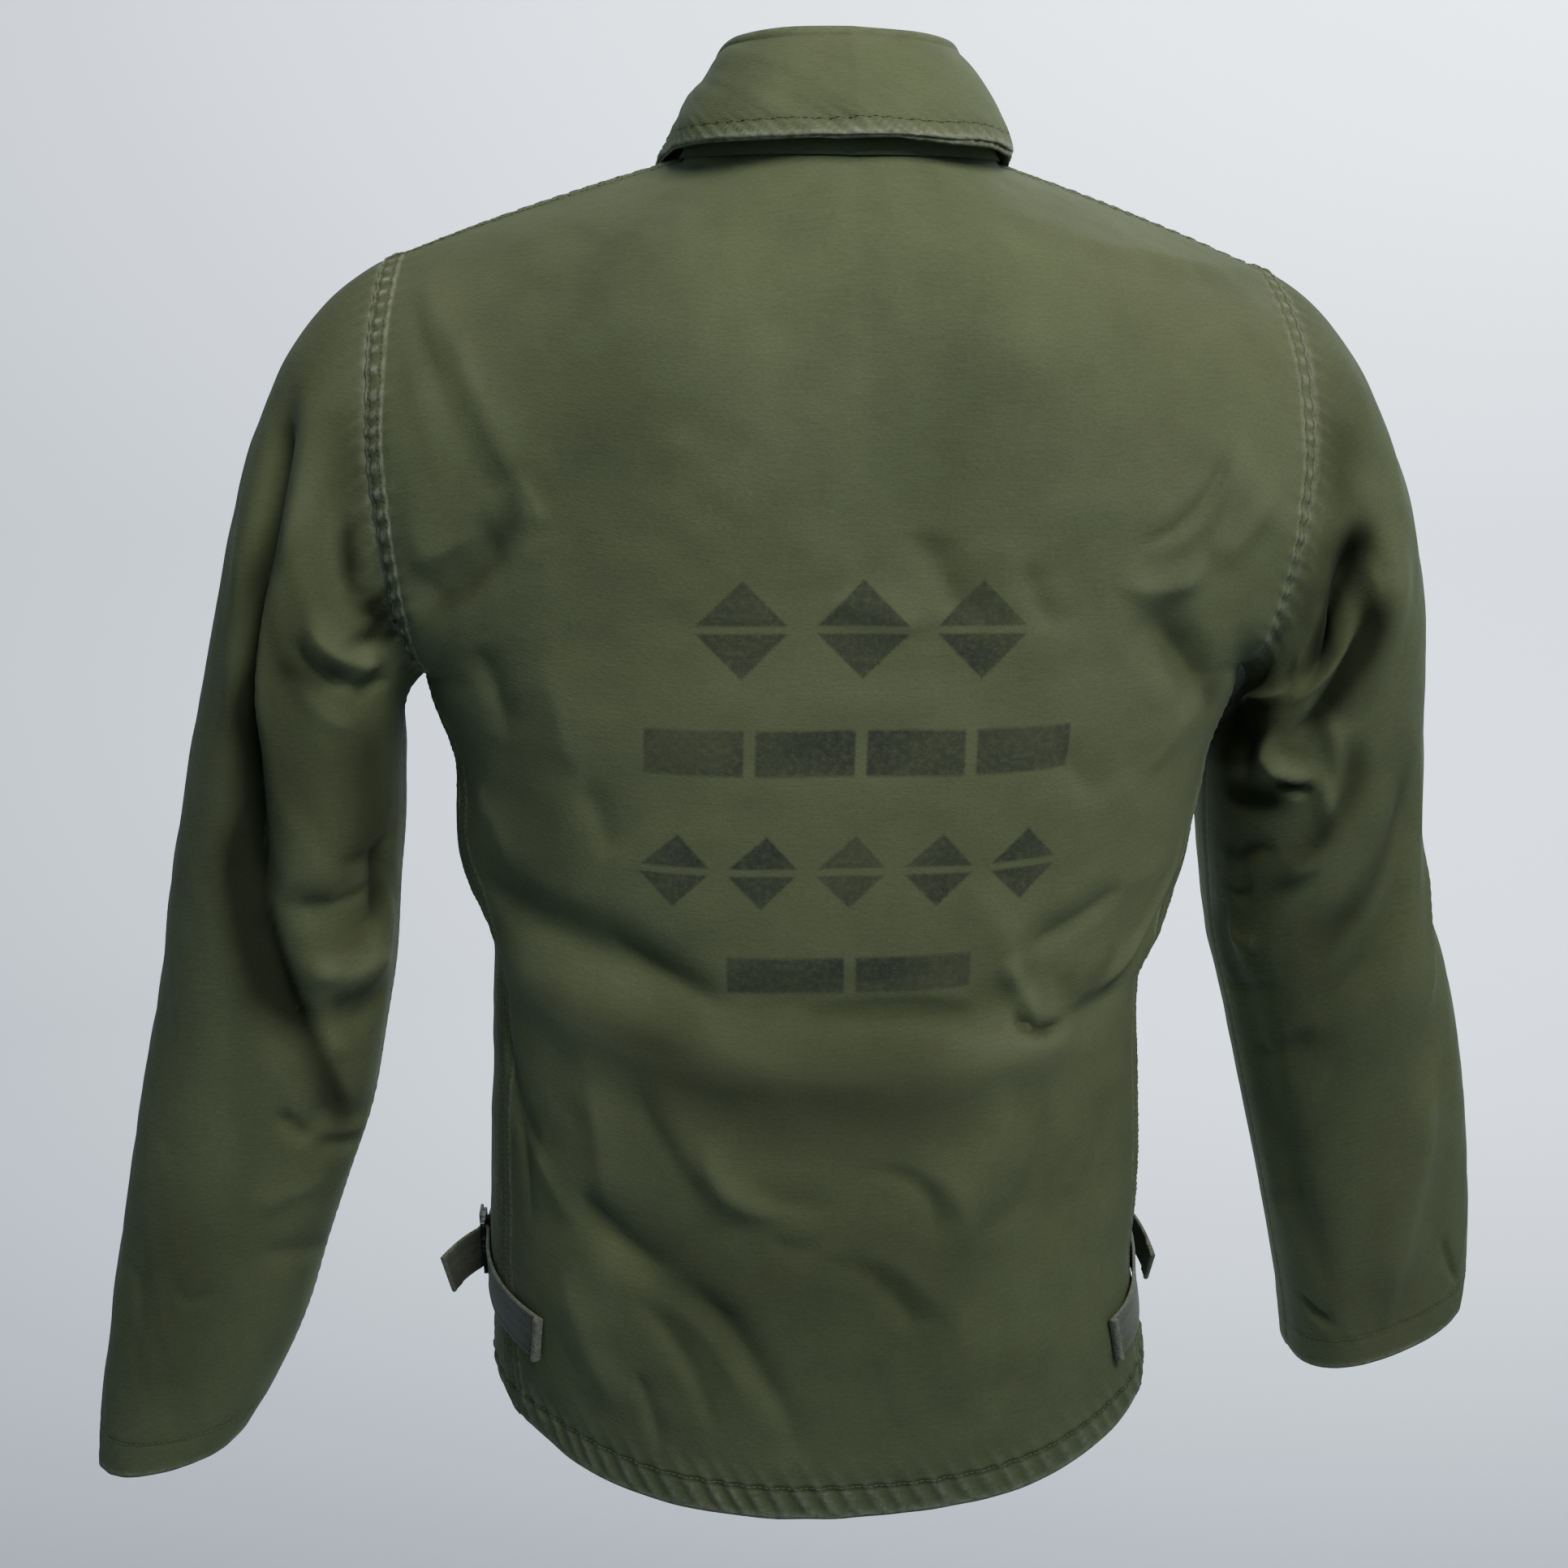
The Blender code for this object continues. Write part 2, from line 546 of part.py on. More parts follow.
def sleeve_surface(rings, stand, turn, reach):
    """Plain sleeve: reach 0 at the armhole seam, 1 at the first hanging ring, 2 at the cuff."""
    t = np.clip(reach, 0.0, 1.0)
    start = armhole(turn)
    start[..., 0] += SEAM + BAND_RISE
    end = sleeve_ring(rings, turn, 0.0 * reach)
    chord = np.linalg.norm(end - start, axis=-1)
    under = (0.5 - 0.5 * np.sin(np.radians(turn))) ** 1.5
    leave = unit(stack(0.90 - 0.14 * under, 0.0, -0.42 - 0.22 * under))
    leave = leave * (chord * stand)[..., None]
    hang = unit(sleeve_ring(rings, turn, 0.05 + 0.0 * reach) - end)
    head = curve_between(start, end, leave, hang * chord[..., None], t)
    tube = sleeve_ring(rings, turn, np.clip(reach - 1.0, 0.0, 1.0))
    return np.where((reach > 1.0)[..., None], tube, head)


def sleeve_grid(rings, stand, folds, turns, reaches, side):
    """Outer and inner points of a sleeve, one row for each entry of `reaches`."""
    turn, reach = np.meshgrid(turns, reaches)

    def plain(a, b):
        return sleeve_surface(rings, stand, a, np.clip(b, 0.0, 2.0))

    normal = outward(plain, turn, reach, 1.0, 0.004)
    point = plain(turn, reach)
    angle = (turn + 90.0) % 360.0 - 90.0
    calm = blend(0.0, 0.35, reach)
    height = np.zeros_like(angle)
    for shift in (0.0, 360.0, -360.0):
        height += fold_height(folds, METRES_PER_DEGREE_SLEEVE, angle + shift, point[..., 2])
    outer = point + normal * (calm * height)[..., None]
    wall = np.where((reach < 1e-6)[..., None], armhole_wall(turn, -1.0), normal)
    thick = np.where(reach > 1.97, CUFF_WALL, WALL)
    inner = outer - wall * thick[..., None]
    flip = np.array([side, 1.0, 1.0])
    return settled(outer * flip), settled(inner * flip)


# ----------------------------------------------------------------- collar surface
# Centre of the turn at the roll line and lower edge of the fall, degrees from centre back.
COLLAR = Table(
    "turn    roll_x  roll_y  roll_z  edge_x  edge_y  edge_z",
    (0.0, 0.0000, 0.0590, 0.0448, 0.0000, 0.0940, -0.0010),
    (30.0, 0.0280, 0.0520, 0.0452, 0.0460, 0.0840, -0.0010),
    (60.0, 0.0490, 0.0300, 0.0450, 0.0765, 0.0510, -0.0005),
    (90.0, 0.0555, 0.0000, 0.0400, 0.0865, 0.0060, 0.0010),
    (115.0, 0.0500, -0.0330, 0.0280, 0.0920, -0.0420, -0.0160),
    (140.0, 0.0380, -0.0640, 0.0060, 0.0850, -0.0885, -0.0560),
    (160.0, 0.0230, -0.0860, -0.0200, 0.0680, -0.1165, -0.0950),
    (172.0, 0.0140, -0.0960, -0.0360, 0.0540, -0.1250, -0.1180),
)
COLLAR_END = 172.0
COLLAR_BOW = 0.0035


def collar_path(turn, depth, station):
    """Point of the collar: depth is measured in from its outer skin, station runs 0 to 1."""
    rad = np.radians(turn)
    out = stack(np.sin(rad), np.cos(rad), 0.0)
    up = np.array([0.0, 0.0, 1.0])
    away = np.abs(turn)
    sign = np.where(turn < 0, -1.0, 1.0)
    roll = stack(sign * COLLAR.at("roll_x", away), COLLAR.at("roll_y", away),
                 COLLAR.at("roll_z", away))
    edge = stack(sign * COLLAR.at("edge_x", away), COLLAR.at("edge_y", away),
                 COLLAR.at("edge_z", away))
    base = neckline(away)
    base[..., 0] *= sign
    base[..., 2] += 0.0008
    radius = COLLAR_ROLL - depth
    d = depth[..., None] if np.ndim(depth) else depth
    r = radius[..., None] if np.ndim(radius) else radius
    fall_dir = unit(edge - roll)
    fall_out = unit(out - fall_dir * np.sum(out * fall_dir, axis=-1, keepdims=True))
    s = station[..., None]
    rise = np.clip(s / 0.25, 0, 1)
    swing = np.pi * np.clip((s - 0.25) / 0.35, 0, 1)
    drop = np.clip((s - 0.60) / 0.40, 0, 1)
    stand = (base + out * d) * (1 - rise) + (roll - out * r) * rise
    arc = roll + r * (-np.cos(swing) * out + np.sin(swing) * up)
    fall = (roll + out * r) * (1 - drop) + (edge - fall_out * d) * drop
    fall = fall + fall_out * COLLAR_BOW * 4 * drop * (1 - drop)
    return np.where(s <= 0.25, stand, np.where(s < 0.60, arc, fall))


def collar_grid(turns, stations, depth):
    turn, station = np.meshgrid(turns, stations)
    outer = collar_path(turn, depth, station)
    inner = collar_path(turn, depth + PLY, station)
    return outer, inner


# ----------------------------------------------------------------- straps on the hem
def on_body(angle, z, lift):
    """Where webbing rests on the body: over the highest cloth below its width, plus `lift`."""
    normal = -outward(level_section, angle, z, 0.5, 0.002)
    below = [z + 0.5 * STRAP_WIDTH * k for k in (-1.0, -0.5, 0.0, 0.5, 1.0)]
    height = np.max([fold_height(BODY_FOLDS, METRES_PER_DEGREE_BODY, angle, h) for h in below],
                    axis=0)
    return level_section(angle, z) + normal * (height + lift)[..., None]


def strap_height(side, angle):
    """Height of a side strap at an angle round the body."""
    rise = METRES_PER_DEGREE_BODY * STRAPS.at("slope", side)
    return STRAPS.at("z", side) + (angle - STRAPS.at("turn", side)) * rise


def buckle_frame(side):
    """Centre of a buckle, its run towards the front, its width and its outward normal."""
    angle = STRAPS.at("turn", side) + np.array([-1.0, 0.0, 1.0])
    z = strap_height(side, angle)
    centre = on_body(side * angle, z, STRAP_LIFT + STRAP_THICK + STRAP_TURN)
    normal = -outward(level_section, side * angle, z, 0.5, 0.002)[1]
    run = unit(centre[2] - centre[0])
    run = unit(run - normal * np.dot(run, normal))
    return centre[1], run, np.cross(normal, run), normal


def strap_path(side, ends, hub, frame, tail, lean, droop):
    """Webbing from its sewn end round a buckle bar; rows of (top point, width, normal)."""
    share = np.concatenate([[0.0, 0.07], np.linspace(0.2, 1.0, 5)])
    angle = ends[0] + (ends[1] - ends[0]) * share
    z = strap_height(side, angle)
    angle = side * angle
    centre = on_body(angle, z, STRAP_LIFT + STRAP_THICK)
    normal = -outward(level_section, angle, z, 0.5, 0.002)
    run = unit(np.gradient(centre, axis=0))
    run = unit(run - normal * np.sum(run * normal, axis=-1, keepdims=True))
    width = np.cross(normal, run)
    rows = list(zip(centre, width, normal))
    forward, across, out = frame
    for beta in np.radians([0.0, 45.0, 90.0, 135.0, 180.0]):
        facing = -forward * math.sin(beta) + out * math.cos(beta)
        rows.append((hub - facing * STRAP_TURN, across, facing))
    back = -forward * math.cos(math.radians(lean)) + out * math.sin(math.radians(lean))
    facing = np.cross(back, across)
    last = rows[-1][0]
    low = across * (-1.0 if across[2] > 0 else 1.0)
    for step in (0.25, 0.6, 0.88, 1.0):
        turn = math.radians(droop) * step
        way = back * math.cos(turn) + low * math.sin(turn)
        wide = across * math.cos(turn) - back * math.sin(turn) * np.dot(low, across)
        rows.append((last + way * tail * step, wide, facing))
    return rows


def strap_grid(rows, thick_rows):
    """Outer and inner points of a strip of webbing from its path."""
    outer = []
    inner = []
    for index, (centre, width, normal) in enumerate(rows):
        half = 0.5 * STRAP_WIDTH * width
        extra = STRAP_HEMMED if index in thick_rows else 0.0
        top = centre + normal * extra
        low = centre - normal * STRAP_THICK
        outer.append([top - half, top + half])
        inner.append([low - half, low + half])
    return np.array(outer), np.array(inner)


# ----------------------------------------------------------------- meshes and materials
def material(name, colour, roughness, metallic=0.0):
    mat = bpy.data.materials.new(name)
    mat.use_nodes = True
    shader = mat.node_tree.nodes["Principled BSDF"]
    shader.inputs["Base Color"].default_value = (*colour, 1.0)
    shader.inputs["Roughness"].default_value = roughness
    shader.inputs["Metallic"].default_value = metallic
    return mat


def place(name, mesh, mat, collection):
    mesh.materials.append(mat)
    obj = bpy.data.objects.new(name, mesh)
    collection.objects.link(obj)
    return obj


def sheet_mesh(name, outer, inner, closed=False):
    """Closed solid between two matching grids of points; `closed` joins last column to first."""
    rows, cols = outer.shape[:2]
    count = rows * cols
    points = np.concatenate([outer.reshape(-1, 3), inner.reshape(-1, 3)])

    def at(row, col, layer):
        return layer * count + row * cols + col % cols

    faces = []
    last = cols if closed else cols - 1
    for row in range(rows - 1):
        for col in range(last):
            for layer in (0, 1):
                near = at(row, col, layer)
                far = at(row + 1, col + 1, layer)
                faces.append([near, at(row, col + 1, layer), far])
                faces.append([near, far, at(row + 1, col, layer)])
    for row in (0, rows - 1):
        for col in range(last):
            faces.append([at(row, col, 1), at(row, col + 1, 1),
                          at(row, col + 1, 0), at(row, col, 0)])
    if not closed:
        for col in (0, cols - 1):
            for row in range(rows - 1):
                faces.append([at(row, col, 0), at(row + 1, col, 0),
                              at(row + 1, col, 1), at(row, col, 1)])
    mesh = bpy.data.meshes.new(name)
    mesh.from_pydata([tuple(p) for p in points], [], faces)
    bm = bmesh.new()
    bm.from_mesh(mesh)
    bmesh.ops.recalc_face_normals(bm, faces=bm.faces[:])
    bm.to_mesh(mesh)
    bm.free()
    return mesh


# ----------------------------------------------------------------- pieces
def panel_shares():
    """Column positions across a half panel, ending in the two lines of the armhole band."""
    band = 1.0 - BAND_WIDTH / SHOULDER_X
    neck = np.linspace(0.0, NECK_SHARE, 4)
    return np.concatenate([neck, np.linspace(NECK_SHARE, band - 0.06, 9)[1:], [band - 0.01, 1.0]])


def panel_ups():
    """Row positions up a panel: hem, body, then armhole to shoulder."""
    hem = HEM_DEPTH / (PIT_Z - HEM_BACK)
    low = np.concatenate([[0.0, hem], np.linspace(hem + 0.06, 1.0, 14)])
    return np.concatenate([low, np.linspace(1.0, 2.0 - SEAM / 0.45, ARM_STEPS + 1)[1:]])


def seam_share(share):
    """Keeps a seam's gap at the side edge."""
    gap = 0.5 * SEAM / 0.22
    return np.where(share > 0.999, 1.0 - gap, share)


def build_body(collection):
    ups = panel_ups()
    half = panel_shares()
    shares = np.concatenate([-seam_share(half)[:0:-1], seam_share(half)])
    outer, inner = body_grid(shares, ups, False)
    place("back", sheet_mesh("back", outer, inner),
          material("back_cotton", OLIVE, 0.85), collection)
    for side, name in ((1.0, "front_left"), (-1.0, "front_right")):
        outer, inner = body_grid(seam_share(panel_shares()), ups, True, side)
        place(name, sheet_mesh(name, outer, inner),
              material(name + "_cotton", OLIVE, 0.85), collection)


def build_sleeves(collection):
    turns = np.arange(2 * ARM_STEPS) * 180.0 / ARM_STEPS - 90.0
    reaches = np.concatenate([np.linspace(0.0, 1.0, 8), np.linspace(1.0, 1.955, 18)[1:], [2.0]])
    for side, name, rings, stand, folds in (
        (1.0, "sleeve_left", SLEEVE_LEFT, HEAD_LEFT, FOLDS_LEFT),
        (-1.0, "sleeve_right", SLEEVE_RIGHT, HEAD_RIGHT, FOLDS_RIGHT),
    ):
        outer, inner = sleeve_grid(rings, stand, folds, turns, reaches, side)
        place(name, sheet_mesh(name, outer, inner, closed=True),
              material(name + "_cotton", OLIVE, 0.85), collection)


def build_collar(collection):
    turns = np.linspace(-COLLAR_END, COLLAR_END, 33)
    stations = np.concatenate([[0.0, 0.13], np.linspace(0.25, 0.60, 5), [0.72, 0.86, 1.0]])
    outer, inner = collar_grid(turns, stations, 0.0)
    place("collar_top", sheet_mesh("collar_top", outer, inner),
          material("collar_top_cotton", OLIVE, 0.85), collection)
    outer, inner = collar_grid(turns, stations, PLY + SEAM)
    place("collar_under", sheet_mesh("collar_under", outer, inner),
          material("collar_under_cotton", OLIVE_DARK, 0.88), collection)


def front_line(up):
    """Point on the middle of the front and its outward normal."""
    share = np.zeros_like(up)
    point = half_panel(share, up, True)
    point[..., 0] -= FRONT_GAP
    run = unit(np.gradient(point, axis=0))
    return point, np.stack([0.0 * up, -run[..., 2], run[..., 1]], axis=-1)


def front_strip(x_low, x_high, ups, lift, thick):
    """Strip of constant width running up the middle of the front."""
    point, normal = front_line(ups)
    top = point + normal * lift
    low = top - normal * thick
    shift = np.array([[x_low, 0.0, 0.0], [x_high, 0.0, 0.0]])
    return top[:, None] + shift, low[:, None] + shift


def joined(base, cutters, operation, hidden):
    """Applies Boolean modifiers to base, one for each other object."""
    for cutter in cutters:
        cut = base.modifiers.new(cutter.name, "BOOLEAN")
        cut.operation = operation
        cut.solver = "EXACT"
        cut.object = cutter
        cutter.hide_render = True
        cutter.display_type = "WIRE"
        hidden.objects.link(cutter)


def block(name, size, matrix, bevel=0.0):
    """Box of a size at a placing, edges rounded."""
    mesh = bpy.data.meshes.new(name)
    bm = bmesh.new()
    bmesh.ops.create_cube(bm, size=1.0)
    bmesh.ops.scale(bm, vec=size, verts=bm.verts)
    if bevel:
        bmesh.ops.bevel(bm, geom=bm.edges[:], offset=bevel, segments=2, profile=0.5,
                        affect="EDGES")
    bm.transform(matrix)
    bm.normal_update()
    bmesh.ops.recalc_face_normals(bm, faces=bm.faces[:])
    bm.to_mesh(mesh)
    bm.free()
    return mesh


def frame_matrix(origin, x_axis, y_axis, z_axis):
    """Placing whose axes are the given directions."""
    columns = [Vector(a).to_4d() for a in (x_axis, y_axis, z_axis)]
    for column in columns:
        column.w = 0.0
    columns.append(Vector((*origin, 1.0)))
    return Matrix(columns).transposed()


def build_straps(collection, hidden):
    arm = 0.5 * (BUCKLE_LENGTH - BUCKLE_BAR)
    for side, mark in ((1.0, "left"), (-1.0, "right")):
        centre, run, across, out = buckle_frame(side)
        turn = STRAPS.at("turn", side)
        rear = strap_path(side, (STRAPS.at("sewn", side), turn - 7.5), centre - run * arm,
                          (run, across, out),
                          STRAP_TAIL, STRAPS.at("lean", side), STRAPS.at("droop", side))
        front = strap_path(side, (STRAP_FRONT_SEWN, turn + 7.5), centre + run * arm,
                           (-run, -across, out),
                           STRAP_RETURN, 0.0, 0.0)
        for name, rows, thick in (
            ("strap_" + mark, rear, (0, 1, len(rear) - 2, len(rear) - 1)),
            ("strap_front_" + mark, front, (0, 1)),
        ):
            outer, inner = strap_grid(rows, thick)
            place(name, sheet_mesh(name, outer, inner),
                  material(name + "_webbing", WEBBING, 0.9), collection)
        matrix = frame_matrix(centre, run, across, out)
        width = STRAP_WIDTH + 2 * BUCKLE_SIDE + 0.0016
        name = "buckle_" + mark
        ring = place(name, block(name, (BUCKLE_LENGTH, width, BUCKLE_BAR), matrix, 0.0003),
                     material(name + "_metal", METAL_DARK, 0.45, 1.0), collection)
        window = block(name + "_window",
                       (BUCKLE_LENGTH - 2 * BUCKLE_BAR, width - 2 * BUCKLE_SIDE, 0.02), matrix)
        joined(ring, [bpy.data.objects.new(name + "_window", window)], "DIFFERENCE", hidden)


def build_zip(collection, hidden):
    ups = panel_ups()
    ups[-1] = 1.99
    inner_x = ZIP_CHAIN_HALF + SEAM
    outer_x = FRONT_GAP - SEAM
    for low, high, mark in ((inner_x, outer_x, "left"), (-outer_x, -inner_x, "right")):
        name = "zip_tape_" + mark
        outer, inner = front_strip(low, high, ups, -ZIP_SINK, ZIP_TAPE_THICK)
        place(name, sheet_mesh(name, outer, inner),
              material(name + "_tape", OLIVE_DARK, 0.9), collection)
    outer, inner = front_strip(-ZIP_CHAIN_HALF, ZIP_CHAIN_HALF, ups[ups < SLIDER_UP - 0.05],
                               0.5 * (ZIP_CHAIN_THICK - ZIP_TAPE_THICK) - ZIP_SINK,
                               ZIP_CHAIN_THICK)
    place("zip_chain", sheet_mesh("zip_chain", outer, inner),
          material("zip_chain_metal", METAL_BRASS, 0.4, 1.0), collection)

    point, normal = front_line(np.array([SLIDER_UP - 0.02, SLIDER_UP, SLIDER_UP + 0.02]))
    x_axis = np.array([1.0, 0.0, 0.0])
    out = normal[1]
    run = np.cross(out, x_axis)
    middle = point[1] - out * (ZIP_SINK + 0.5 * ZIP_TAPE_THICK)
    matrix = frame_matrix(middle, x_axis, run, out)
    slider = place("zip_slider", block("zip_slider", SLIDER_SIZE, matrix, 0.0008),
                   material("zip_slider_metal", METAL_BRASS, 0.35, 1.0), collection)
    slot = block("zip_slider_slot", (0.03, 0.03, ZIP_TAPE_THICK + 2 * SEAM), matrix)
    mouth = block("zip_slider_mouth", (2 * ZIP_CHAIN_HALF + 2 * SEAM, 0.010,
                                       ZIP_CHAIN_THICK + 2 * SEAM),
                  matrix @ Matrix.Translation((0.0, -0.006, 0.0)))
    post = block("zip_slider_post", (0.0024, 0.0050, 0.0030),
                 matrix @ Matrix.Translation((0.0, 0.0035, 0.0)))
    pivot = middle + out * PULL_LIFT
    joined(slider, [bpy.data.objects.new("zip_slider_slot", slot),
                    bpy.data.objects.new("zip_slider_mouth", mouth)], "DIFFERENCE", hidden)
    bail = ring_mesh("zip_slider_bail", BAIL_RADIUS, BAIL_WIRE, matrix, PULL_LIFT)
    joined(slider, [bpy.data.objects.new("zip_slider_post", post),
                    bpy.data.objects.new("zip_slider_bail", bail)], "UNION", hidden)

    hang = frame_matrix(pivot, x_axis, -run, -out)
    low = Matrix.Translation((0.0, 0.5 * PULL_LENGTH - 0.0007, 0.0))
    plate = block("zip_pull", (PULL_WIDTH, PULL_LENGTH, PULL_THICK), hang @ low, 0.0004)
    pull = place("zip_pull", plate, material("zip_pull_metal", METAL_BRASS, 0.35, 1.0), collection)
    window = block("zip_pull_window", (0.0032, PULL_WINDOW, 0.01),
                   hang @ Matrix.Translation((0.0, 0.0007 + 0.5 * PULL_WINDOW, 0.0)))
    joined(pull, [bpy.data.objects.new("zip_pull_window", window)], "DIFFERENCE", hidden)


def ring_mesh(name, radius, wire, matrix, height):
    """Wire ring standing up from the slider in the plane of the zip."""
    around = 20
    sides = 8
    points = []
    faces = []
    for i, turn in enumerate(np.arange(around) * 2 * np.pi / around):
        for j in range(sides):
            beta = 2 * np.pi * j / sides
            reach = radius + wire * math.cos(beta)
            local = Vector((wire * math.sin(beta), reach * math.sin(turn),
                            height + reach * math.cos(turn)))
            points.append(matrix @ local)
            k = (i + 1) % around
            faces.append([i * sides + j, i * sides + (j + 1) % sides,
                          k * sides + (j + 1) % sides, k * sides + j])
    mesh = bpy.data.meshes.new(name)
    mesh.from_pydata(points, [], faces)
    return mesh


def main():
    for obj in list(bpy.data.objects):
        bpy.data.objects.remove(obj)
    jacket = bpy.data.collections.new("deck_jacket")
    cutters = bpy.data.collections.new("deck_jacket_cutters")
    bpy.context.scene.collection.children.link(jacket)
    bpy.context.scene.collection.children.link(cutters)
    build_body(jacket)
    build_sleeves(jacket)
    build_collar(jacket)
    build_zip(jacket, cutters)
    build_straps(jacket, cutters)


main()
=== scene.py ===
"""Deck jacket, dressed: dense cloth with its folds, puckered seams, stitching, zip and webbing."""
import math
from collections import namedtuple

import bmesh
import bpy
import numpy as np
from bpy.props import FloatProperty, FloatVectorProperty, PointerProperty
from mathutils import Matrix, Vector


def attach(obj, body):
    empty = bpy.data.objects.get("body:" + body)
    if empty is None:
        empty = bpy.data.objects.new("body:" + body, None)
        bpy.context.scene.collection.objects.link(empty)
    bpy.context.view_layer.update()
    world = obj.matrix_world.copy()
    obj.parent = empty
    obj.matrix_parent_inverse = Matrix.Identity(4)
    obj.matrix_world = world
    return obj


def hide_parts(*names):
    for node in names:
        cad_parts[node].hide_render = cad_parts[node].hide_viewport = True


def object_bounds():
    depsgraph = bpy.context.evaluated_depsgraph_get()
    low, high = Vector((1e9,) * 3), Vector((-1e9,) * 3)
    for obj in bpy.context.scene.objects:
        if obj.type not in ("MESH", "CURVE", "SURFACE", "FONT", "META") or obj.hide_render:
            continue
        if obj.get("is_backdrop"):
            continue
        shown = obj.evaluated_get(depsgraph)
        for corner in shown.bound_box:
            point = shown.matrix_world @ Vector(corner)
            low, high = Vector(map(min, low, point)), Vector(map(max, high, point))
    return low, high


bl_info = {
    "name": "Deck jacket",
    "version": (1, 0, 0),
    "blender": (4, 5, 0),
    "location": "3D View > Sidebar > Jacket",
    "description": "Dresses the deck jacket's frame in cloth, thread, webbing and metal",
    "category": "Object",
}

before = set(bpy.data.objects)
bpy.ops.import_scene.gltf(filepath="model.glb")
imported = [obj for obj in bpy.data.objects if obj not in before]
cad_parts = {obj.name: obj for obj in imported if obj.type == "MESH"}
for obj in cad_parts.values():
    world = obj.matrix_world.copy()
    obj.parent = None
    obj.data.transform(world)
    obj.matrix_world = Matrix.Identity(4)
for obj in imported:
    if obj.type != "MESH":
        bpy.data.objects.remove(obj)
CAD_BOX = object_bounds()
JACKET = "jacket"

# ------------------------------------------------------------ sizes shared with the solids
WALL = 0.0018            # cloth of body and sleeves
HEM_WALL = 0.0030        # turned-up hem, two layers
PLY = 0.0012             # each layer of the collar
SEAM = 0.0003            # gap left between two pieces at a seam
HEM_DEPTH = 0.019        # height of the turned-up hem
BAND_RISE = 0.0008       # lapped armhole band above the panel
BAND_WIDTH = 0.010       # lapped armhole band across the seam

PIT_Z = -0.250           # height of the underarm point
HEM_SHIFT = -3.0         # turns the lowest point of the hem a little to the left
HEM_BACK = -0.670        # hem height at centre back
HEM_SIDE = -0.638        # hem height at the sides
HEM_FRONT = -0.645       # hem height at centre front

NECK_HALF = 0.076        # half width of the neckline
NECK_BACK = 0.082        # centre back of the neckline
NECK_FRONT = -0.088      # centre front of the neckline
NECK_MIDDLE = 0.010      # where the neckline is widest
NECK_SHARE = 0.25        # part of each half panel taken up by the neckline
SHOULDER_X = 0.222       # shoulder tip
SHOULDER_Y = -0.004
SHOULDER_Z = -0.0500
SHOULDER_SLOPE = 0.38    # fall of the shoulder seam for each metre it runs out
SEAM_ROW = 1.999         # rows of a panel above this one lie on the neckline or shoulder seam
FRONT_GAP = 0.012        # front edge to the centre line, where the zip shows

COLLAR_ROLL = 0.0052     # radius of the collar's turn at the roll line
CUFF_WALL = 0.0028       # turned-in cuff, two layers

HEAD_LEFT = 1.00         # how far each sleeve head stands out before it hangs
HEAD_RIGHT = 0.86
RIGHT_DROP = 0.003       # the right shoulder sits this much lower

STRAP_WIDTH = 0.025      # side webbing
STRAP_THICK = 0.0015
STRAP_LIFT = 0.0008      # webbing above the cloth it lies on
STRAP_FRONT_SEWN = 119.0  # sewn end of the front webbing, degrees round the body
STRAP_TURN = 0.0021      # inside radius of the webbing round a buckle bar
STRAP_TAIL = 0.024       # free end of the rear webbing past its buckle bar
STRAP_RETURN = 0.010     # sewn return of the front webbing
STRAP_HEMMED = 0.0014    # extra thickness where the webbing is folded over
BAR_TURN = 7.5           # degrees round the body from a buckle's middle to the webbing's turn
BUCKLE_LENGTH = 0.0180
BUCKLE_BAR = 0.0024      # thickness of a buckle's bar

ZIP_TAPE_THICK = 0.0010
ZIP_SINK = 0.0004        # zip tape below the face of the fronts
ZIP_CHAIN_HALF = 0.0029
SLIDER_UP = 1.93         # place of the slider up the front, 2 is the neck

# Finer sizes of seams and stitching (metres).
CREASE_POWER = 1.6        # low for a sharp crest, 2 for a soft one
TWIN = (0.0020, 0.0084)   # twin-needle rows of the armhole, from the seam
TWIN_DEPTH = 0.00045      # depth of the grooves under them
LappedSeam = namedtuple("LappedSeam", "band rows pitch pucker seed")
SIDE_SEAM = LappedSeam(0.0090, (0.0018, 0.0076), pitch=0.0064, pucker=0.00028, seed=17)
TOP_SEAM = LappedSeam(0.0090, (0.0018, 0.0076), pitch=0.0085, pucker=0.00045, seed=23)
LAP_RISE = 0.0005         # lapped side and shoulder seams above the panel
LAP_DEPTH = 0.0003        # depth of the grooves under their stitches
HEM_RISE = 0.0009
HEM_PITCH = 0.0115
HEM_PUCKER = 0.00075
HEM_STITCH = HEM_DEPTH - 0.0012  # row of stitches just below the top of the turned-up hem
NEEDLE = 0.0008           # half width of the groove under a row of stitches
BAND_STEP = 0.0006        # half width of the step at the edge of a lapped band
FRONT_STITCH = 0.0060     # row of stitches beside the zip
FAR = 9.0                 # stands for a distance that no row of stitches has
CUFF_LINE = 0.0190        # row of stitches above the cuff's edge
COLLAR_STITCH = 0.0080
COLLAR_PITCH = 0.0075
COLLAR_PUCKER = 0.00085
SLEEVE_GIRTH = 0.34       # cloth coordinate once round a sleeve
SLEEVE_SQUARE = 0.85      # squareness of a sleeve's rings, 1 is an ellipse
# Uneven hang of the cloth between its folds: height, cell width, cell height and seed.
BODY_RUMPLE = ((0.0007, 0.034, 0.030, 3), (0.0004, 0.016, 0.013, 7))
SLEEVE_RUMPLE = ((0.0006, 0.034, 0.030, 41), (0.0004, 0.017, 0.014, 43))
DESIGN_TOP = 0.452        # height of the motif's first row above the hem, along the cloth

